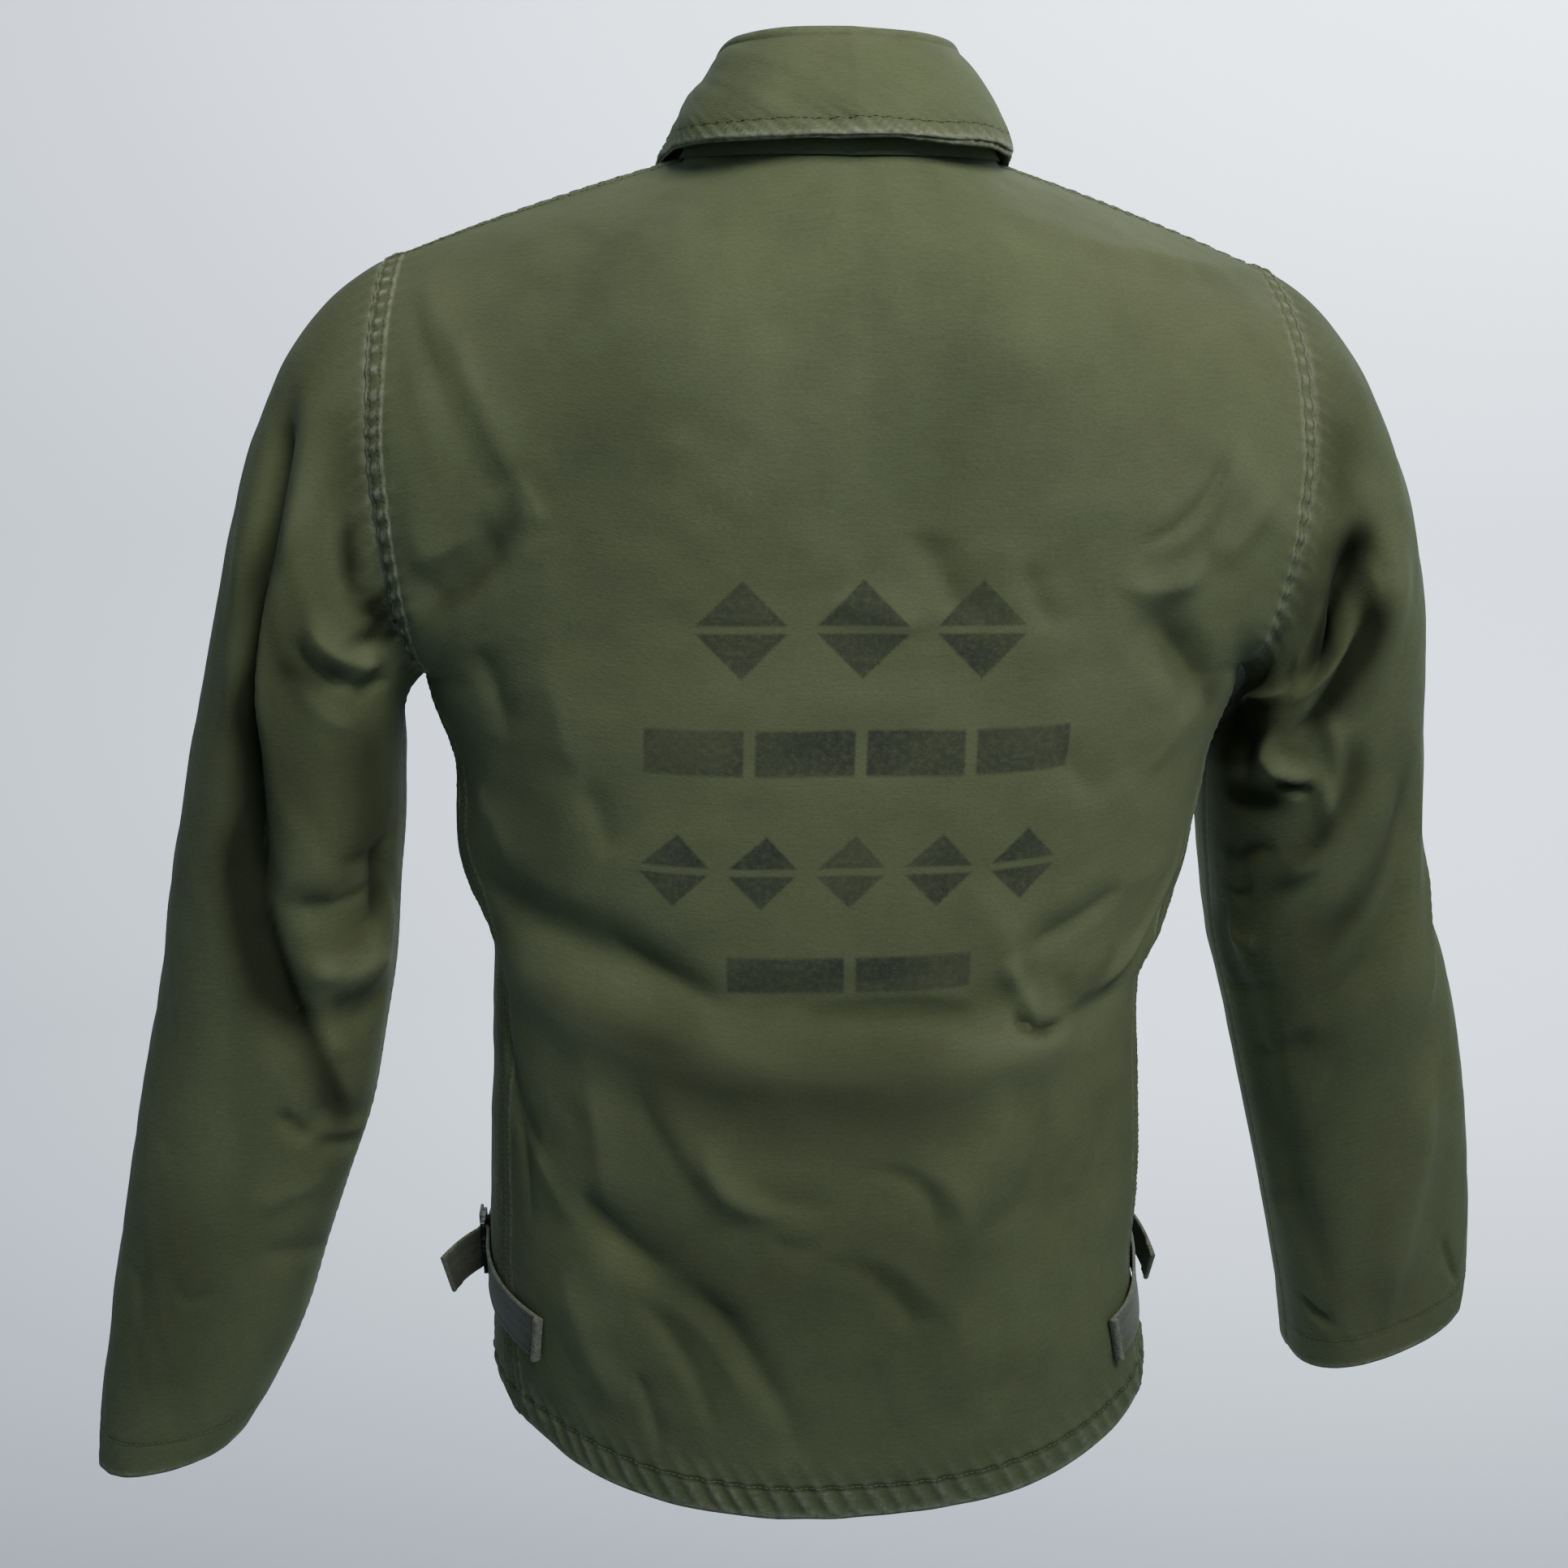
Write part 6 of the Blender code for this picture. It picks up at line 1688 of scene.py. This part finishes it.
def printed(n, place, colour, colours):
    """Faded motif of our own: two rows of split diamonds and two rows of broken bars."""
    soft = 0.0009
    split = n.node("ShaderNodeSeparateXYZ", {"Vector": place})
    rough = n.times(n.math("SUBTRACT", n.noise(place, 900.0, 2.0, 0.6), 0.5), 0.0022)
    u = n.add(split.outputs["X"], rough)
    v = n.add(split.outputs["Y"], rough)

    def within(away, half):
        return n.span(away, half - soft, half + soft, 1.0, 0.0)

    def repeated(pitch, count):
        return n.math("PINGPONG", n.add(u, count * pitch), 0.5 * pitch)

    def broken_bar(height, half_high, half_long, pitch):
        line = n.times(within(n.away(v, height), half_high), within(n.away(u, 0.0), half_long))
        return n.times(line, n.span(repeated(pitch, 10.0), 0.0022, 0.0034))

    def diamonds(height, pitch, half, count):
        up = n.away(v, height)
        shape = n.times(within(n.add(repeated(pitch, 20.0), up), half),
                        n.span(up, 0.0012, 0.0024))
        return n.times(shape, within(n.away(u, 0.0), 0.5 * count * pitch))

    ink = diamonds(DESIGN_TOP, 0.056, 0.023, 3)
    for part in (
        broken_bar(DESIGN_TOP - 0.058, 0.011, 0.104, 0.052),
        diamonds(DESIGN_TOP - 0.116, 0.042, 0.018, 5),
        broken_bar(DESIGN_TOP - 0.168, 0.009, 0.062, 0.062),
    ):
        ink = n.math("MAXIMUM", ink, part)
    worn = n.span(n.noise(place, 300.0, 4.0, 0.75), 0.30, 0.56, 0.45, 1.0)
    patchy = n.span(n.noise(place, 16.0, 2.0, 0.5), 0.36, 0.60, 0.60, 1.0)
    return n.mix(n.times(n.times(worn, patchy), n.times(ink, 0.86)), colour, shade(colours.ink))


def thread_material(name, colours):
    n = Nodes(name)
    tint = n.noise(n.solid, 900.0, 3.0, 0.6)
    colour = n.mix(n.span(tint, 0.35, 0.65), shade(colours.thread, 0.75),
                   shade(colours.thread, 1.15))
    return n.finish(colour, {"Roughness": 0.7}, tint, 0.4, 0.0001)


def webbing_material(name, colour, worn, pitch):
    """Herringbone tape: slanting yarns that turn at each column, paler at the selvedge."""
    n = Nodes(name)
    split = n.node("ShaderNodeSeparateXYZ", {"Vector": n.cloth_place()})
    across, along = split.outputs["X"], split.outputs["Y"]
    slant = n.add(along, n.math("PINGPONG", n.add(across, 1.0), 0.0031))
    rows = n.math("SINE", n.times(slant, 2 * math.pi / pitch))
    cross = n.math("SINE", n.times(across, 2 * math.pi / (0.8 * pitch)))
    fuzz = n.noise(n.solid, 700.0, 3.0, 0.7)
    base = n.mix(n.span(n.noise(n.solid, 60.0, 3.0, 0.6), 0.35, 0.65), shade(colour, 0.82),
                 shade(colour, 1.2))
    base = n.mix(n.span(rows, -1.0, 0.2, 0.35, 0.0), base, shade(colour, 0.45))
    base = n.mix(n.span(fuzz, 0.45, 0.75, 0.0, 0.35), base, shade(worn))
    base = n.mix(n.times(n.mark("wear"), n.span(fuzz, 0.35, 0.6, 0.2, 0.9)), base, shade(worn))
    height = n.add(n.times(rows, 0.5), n.times(cross, 0.25))
    height = n.add(height, n.times(fuzz, 0.8))
    return n.finish(base, {"Roughness": 0.85, "Sheen Weight": 0.2}, height, 0.7, 0.00025)


def metal_material(name, colour, bare, metallic, roughness):
    """Old metal: dull finish with rubbed, brighter patches and fine pitting."""
    n = Nodes(name)
    worn = n.noise(n.solid, 420.0, 5.0, 0.7)
    cloud = n.noise(n.solid, 90.0, 3.0, 0.5)
    finish = n.mix(n.span(worn, 0.52, 0.66), shade(colour), shade(bare))
    finish = n.mix(n.span(cloud, 0.35, 0.65, 0.0, 0.35), finish, shade(colour, 0.6))
    rough = n.span(worn, 0.3, 0.7, roughness + 0.15, roughness - 0.1)
    return n.finish(finish, {"Roughness": rough, "Metallic": metallic}, worn, 0.3, 0.0001)


# ------------------------------------------------------------ sizes and colours a user may change
def length_prop(name, description, value):
    return FloatProperty(name=name, description=description, default=value, min=0.0,
                         subtype="DISTANCE", unit="LENGTH", precision=5)


def colour_prop(name, description, *value):
    return FloatVectorProperty(name=name, description=description, default=value, min=0.0,
                               max=1.0, subtype="COLOR", size=3)


class JacketSizes(bpy.types.PropertyGroup):
    """Sizes of the cloth's finer detail."""

    weave: length_prop("Weave", "Distance from yarn to yarn of the cotton", 0.0009)
    pucker_pitch: length_prop("Pucker pitch", "Distance between ripples along a lapped seam",
                              0.0096)
    pucker_height: length_prop("Pucker height", "Height of the ripples along a lapped seam",
                               0.00055)
    stitch_length: length_prop("Stitch length", "Length of one stitch with its gap", 0.0030)
    thread_radius: length_prop("Thread radius", "Radius of the sewing thread", 0.00026)
    tooth_pitch: length_prop("Tooth pitch", "Distance between zip teeth of one row", 0.0030)
    crease_height: FloatProperty(name="Crease strength", default=1.15, min=0.0, max=2.0,
                                 description="How strongly the fine creases show")


class JacketColours(bpy.types.PropertyGroup):
    """Colours of the jacket and of the room around it."""

    cotton: colour_prop("Cotton", "Olive cotton where it is neither faded nor dirty",
                        0.152, 0.180, 0.091)
    cotton_brown: colour_prop("Cotton, browned", "Where the dye has turned brown",
                              0.172, 0.168, 0.092)
    # Also laid on fold crests, partly as painted highlight.
    cotton_worn: colour_prop("Cotton, faded", "Faded cotton on folds and slubs",
                             0.242, 0.262, 0.157)
    cotton_rubbed: colour_prop("Cotton, rubbed", "Cotton rubbed pale along edges",
                               0.430, 0.440, 0.338)
    ink: colour_prop("Ink", "Faded ink of the motif on the back", 0.050, 0.056, 0.044)
    thread: colour_prop("Thread", "Sewing thread", 0.151, 0.172, 0.094)
    webbing: colour_prop("Webbing", "Side webbing", 0.088, 0.098, 0.062)
    webbing_worn: colour_prop("Webbing, worn", "Webbing along its edges", 0.235, 0.245, 0.180)
    tape: colour_prop("Zip tape", "Woven tape of the zip", 0.100, 0.105, 0.060)
    metal: colour_prop("Buckle metal", "Dark finish of the buckles", 0.030, 0.030, 0.028)
    metal_bare: colour_prop("Bare metal", "Where a buckle's finish is rubbed off",
                            0.250, 0.240, 0.220)
    brass: colour_prop("Zip metal", "Old brass of the zip", 0.230, 0.165, 0.075)
    brass_bare: colour_prop("Zip metal, rubbed", "Rubbed brass", 0.480, 0.370, 0.190)
    room: colour_prop("Room", "Floor and backdrop", 0.325, 0.355, 0.393)


def ride_and_slot(obj, slot, *nodes):
    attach(obj, JACKET)
    if nodes:
        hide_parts(*nodes)
    return obj


def sew(cloth_name, paths, sizes, mat):
    """Rows of sewing thread, as a piece of their own beside the cloth they hold."""
    threads = thread_object(cloth_name.replace("cloth", "thread"), paths, sizes, mat)
    ride_and_slot(threads, "olive_cotton")


def panel_rows(cloth, is_back):
    """Paths of all rows of stitches of the back or of a front."""
    to_side, across = cloth.measures["to_side"], cloth.measures["across"]
    upper = cloth.measures["above"][:, 0] > 0.5
    paths = []
    for end in (1.0, -1.0) if is_back else (1.0,):
        field = to_side
        if is_back:
            this_half = (across > 0.5 * across[:, -1:]) == (end > 0)
            field = np.where(this_half, to_side, FAR)
        for rows, keep in ((TWIN, upper), (SIDE_SEAM.rows, ~upper)):
            for where in rows:
                points, normals = cloth.line(field, where)
                paths.append((points[keep], normals[keep]))
    paths.append(cloth.line(cloth.measures["up_arc"], HEM_STITCH, along_rows=False))
    for where in TOP_SEAM.rows:
        points, normals = cloth.line(cloth.measures["to_top"], where, along_rows=False)
        for sign in (1.0, -1.0) if is_back else (np.sign(points[:, 0].mean()),):
            keep = sign * points[:, 0] > NECK_HALF + 0.004
            paths.append((points[keep], normals[keep]))
    if not is_back:
        paths.append(cloth.line(across, FRONT_STITCH))
    return paths


class JACKET_OT_body(bpy.types.Operator):
    """Builds the back and the fronts with their seams and thread"""

    bl_idname = "jacket.body"
    bl_label = "Body cloth"

    def execute(self, context):
        sizes = context.scene.jacket_sizes
        colours = context.scene.jacket_colours
        back_mat = cotton("back_cotton_worn", colours, sizes, design=True)
        front_mat = cotton("front_cotton_worn", colours, sizes)
        thread = thread_material("olive_thread", colours)
        for cloth in build_body(sizes):
            is_back = cloth.name == "back_cloth"
            obj = cloth_object(cloth, back_mat if is_back else front_mat)
            ride_and_slot(obj, "olive_cotton", cloth.name.replace("_cloth", ""))
            sew(cloth.name, panel_rows(cloth, is_back), sizes, thread)
        return {"FINISHED"}


class JACKET_OT_sleeves(bpy.types.Operator):
    """Builds both sleeves with their seams and cuffs"""

    bl_idname = "jacket.sleeves"
    bl_label = "Sleeves"

    def execute(self, context):
        sizes = context.scene.jacket_sizes
        # The sleeves get a darker copy of the cotton: painted shade.
        mat = cotton("sleeve_cotton_worn_painted_shade", context.scene.jacket_colours, sizes, tone=0.88)
        thread = bpy.data.materials["olive_thread"]
        for cloth in build_sleeves(sizes):
            obj = cloth_object(cloth, mat)
            ride_and_slot(obj, "olive_cotton", cloth.name.replace("_cloth", ""))
            line = cloth.line(cloth.measures["to_cuff"], CUFF_LINE, along_rows=False)
            sew(cloth.name, [line], sizes, thread)
        return {"FINISHED"}


class JACKET_OT_collar(bpy.types.Operator):
    """Builds both plies of the collar and its edge stitching"""

    bl_idname = "jacket.collar"
    bl_label = "Collar"

    def execute(self, context):
        sizes = context.scene.jacket_sizes
        colours = context.scene.jacket_colours
        thread = bpy.data.materials["olive_thread"]
        top = collar_cloth("collar_top_cloth", 0.0, 0.0, [21, 36, 45], 241)
        low = collar_cloth("collar_under_cloth", PLY + SEAM, UNDER_LIP, [15, 24, 30], 181)
        # The upper collar's cotton is a little lighter and the under collar's darker: painted
        # light and painted shade.
        for cloth, material, tone in ((top, "collar_cotton_worn", 1.02),
                                      (low, "collar_under_cotton_worn", 0.85)):
            obj = cloth_object(cloth, cotton(material, colours, sizes, tone=tone))
            ride_and_slot(obj, "olive_cotton", cloth.name.replace("_cloth", ""))
        field = np.where(top.measures["station"] > 0.7, top.measures["to_edge"], FAR)
        sew(top.name, [top.line(field, COLLAR_STITCH, along_rows=False)], sizes, thread)
        return {"FINISHED"}


class JACKET_OT_webbing(bpy.types.Operator):
    """Builds the side webbing and finishes the buckles"""

    bl_idname = "jacket.webbing"
    bl_label = "Side webbing"

    def execute(self, context):
        colours = context.scene.jacket_colours
        mat = webbing_material("side_webbing_worn", colours.webbing, colours.webbing_worn, 0.0016)
        metal = metal_material("buckle_metal_worn", colours.metal, colours.metal_bare, 0.8, 0.5)
        arm = 0.5 * (BUCKLE_LENGTH - BUCKLE_BAR)
        for side, mark in ((1.0, "left"), (-1.0, "right")):
            centre, run, across, out = buckle_frame(side)
            turn = STRAPS.at("turn", side)
            rear = strap_rows(side, (STRAPS.at("sewn", side), turn - BAR_TURN),
                              centre - run * arm, (run, across, out), STRAP_TAIL,
                              STRAPS.at("lean", side), STRAPS.at("droop", side))
            front = strap_rows(side, (STRAP_FRONT_SEWN, turn + BAR_TURN), centre + run * arm,
                               (-run, -across, out), STRAP_RETURN, 0.0, 0.0)
            obj = webbing_object("webbing_" + mark, rear, STRAP_HEMMED, STRAP_HEMMED * 0.5, mat)
            ride_and_slot(obj, "webbing", "strap_" + mark)
            obj = webbing_object("webbing_front_" + mark, front, STRAP_HEMMED, 0.0, mat)
            ride_and_slot(obj, "webbing", "strap_front_" + mark)
            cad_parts["buckle_" + mark].material_slots[0].material = metal
        return {"FINISHED"}


class JACKET_OT_zip(bpy.types.Operator):
    """Builds the zip's tapes and teeth and finishes its slider and pull"""

    bl_idname = "jacket.zip"
    bl_label = "Zip"

    def execute(self, context):
        colours = context.scene.jacket_colours
        tape = webbing_material("zip_tape_worn", colours.tape, colours.cotton_worn, 0.0010)
        brass = metal_material("zip_brass_worn", colours.brass, colours.brass_bare, 1.0, 0.38)
        inner_x = ZIP_CHAIN_HALF + SEAM
        outer_x = FRONT_GAP - SEAM
        for low, high, mark in ((inner_x, outer_x, "left"), (-outer_x, -inner_x, "right")):
            obj = tape_object("zip_tape_%s_woven" % mark, low, high, tape)
            ride_and_slot(obj, "zip_tape", "zip_tape_" + mark)
        pitch = context.scene.jacket_sizes.tooth_pitch
        for sign, mark in ((1.0, "left"), (-1.0, "right")):
            obj = zip_teeth("zip_teeth_" + mark, pitch, sign, brass)
            ride_and_slot(obj, "zip_metal", "zip_chain")
        for node in ("zip_slider", "zip_pull"):
            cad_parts[node].material_slots[0].material = brass
        return {"FINISHED"}


def placed(name, data, place, rotation):
    """Object of a light or camera."""
    obj = bpy.data.objects.new(name, data)
    bpy.context.scene.collection.objects.link(obj)
    obj.location = place
    obj.rotation_euler = rotation
    return obj


def area_light(name, place, aim, size, power, colour):
    light = bpy.data.lights.new(name, "AREA")
    light.shape = "RECTANGLE"
    light.size, light.size_y = size
    light.energy = power
    light.color = colour
    way = unit(np.array(aim) - np.array(place))
    turn = (math.acos(-way[2]), 0.0, math.atan2(-way[0], way[1]))
    placed(name, light, place, turn).visible_camera = False


def room_points():
    """Rings of a round floor that curves up into a wall."""
    flat = STAGE_RADIUS - STAGE_CORNER
    profile = [(r, FLOOR_Z) for r in (0.02, 0.5, 1.5, flat)]
    for beta in np.radians(np.linspace(0.0, 90.0, 13))[1:]:
        profile.append((flat + STAGE_CORNER * math.sin(beta),
                        FLOOR_Z + STAGE_CORNER * (1.0 - math.cos(beta))))
    profile.append((STAGE_RADIUS, FLOOR_Z + STAGE_HEIGHT))
    turns = np.linspace(0.0, 2 * np.pi, 97)[:-1]
    return [[(r * math.cos(t), r * math.sin(t), z) for t in turns] for r, z in profile]


class JACKET_OT_stage(bpy.types.Operator):
    """Sets the floor, backdrop, lights and camera"""

    bl_idname = "jacket.stage"
    bl_label = "Stage"

    def execute(self, context):
        scene = context.scene
        room = scene.jacket_colours.room
        n = Nodes("room_paint")
        tint = n.noise(n.solid, 0.8, 2.0, 0.5)
        paint = n.finish(n.mix(n.span(tint, 0.3, 0.7), shade(room, 0.98), shade(room, 1.02)),
                         {"Roughness": 0.9})
        points = np.array(room_points())
        index = np.arange(points[..., 0].size).reshape(points.shape[:2])
        faces = grid_faces(wrapped(index)) + [index[0].tolist()]
        mesh_object("room", points.reshape(-1, 3), faces, paint)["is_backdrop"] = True

        for light in LIGHTS:
            area_light(*light)
        world = bpy.data.worlds.new("soft_sky")
        world.use_nodes = True
        sky = world.node_tree.nodes["Background"]
        sky.inputs["Color"].default_value = SKY_COLOUR
        sky.inputs["Strength"].default_value = SKY_STRENGTH
        scene.world = world

        camera = bpy.data.cameras.new("camera")
        camera.sensor_width = SENSOR
        camera.lens = SENSOR * CAMERA_FOCUS / PICTURE
        camera.clip_start = 0.05
        camera.clip_end = 30.0
        turn = (math.radians(90.0 - CAMERA_PITCH), 0.0, math.radians(CAMERA_TURN))
        scene.camera = placed("camera", camera, CAMERA_PLACE, turn)
        return {"FINISHED"}


class JACKET_PT_panel(bpy.types.Panel):
    """Lists the jacket's pieces, sizes and colours"""

    bl_label = "Deck jacket"
    bl_idname = "JACKET_PT_panel"
    bl_space_type = "VIEW_3D"
    bl_region_type = "UI"
    bl_category = "Jacket"

    def draw(self, context):
        layout = self.layout
        for operator in OPERATORS:
            layout.operator(operator.bl_idname)
        for group in (context.scene.jacket_sizes, context.scene.jacket_colours):
            box = layout.box()
            for key in group.__annotations__:
                box.prop(group, key)


OPERATORS = (JACKET_OT_body, JACKET_OT_sleeves, JACKET_OT_collar, JACKET_OT_webbing,
             JACKET_OT_zip, JACKET_OT_stage)
CLASSES = (JacketSizes, JacketColours) + OPERATORS + (JACKET_PT_panel,)


def register():
    for cls in CLASSES:
        bpy.utils.register_class(cls)
    bpy.types.Scene.jacket_sizes = PointerProperty(type=JacketSizes)
    bpy.types.Scene.jacket_colours = PointerProperty(type=JacketColours)


def unregister():
    del bpy.types.Scene.jacket_colours
    del bpy.types.Scene.jacket_sizes
    for cls in reversed(CLASSES):
        bpy.utils.unregister_class(cls)


def main():
    register()
    bpy.ops.jacket.body()
    bpy.ops.jacket.sleeves()
    bpy.ops.jacket.collar()
    bpy.ops.jacket.webbing()
    bpy.ops.jacket.zip()
    bpy.ops.jacket.stage()
    boxes = [[list(map(float, corner)) for corner in box] for box in (CAD_BOX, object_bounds())]


if __name__ == "__main__":
    main()
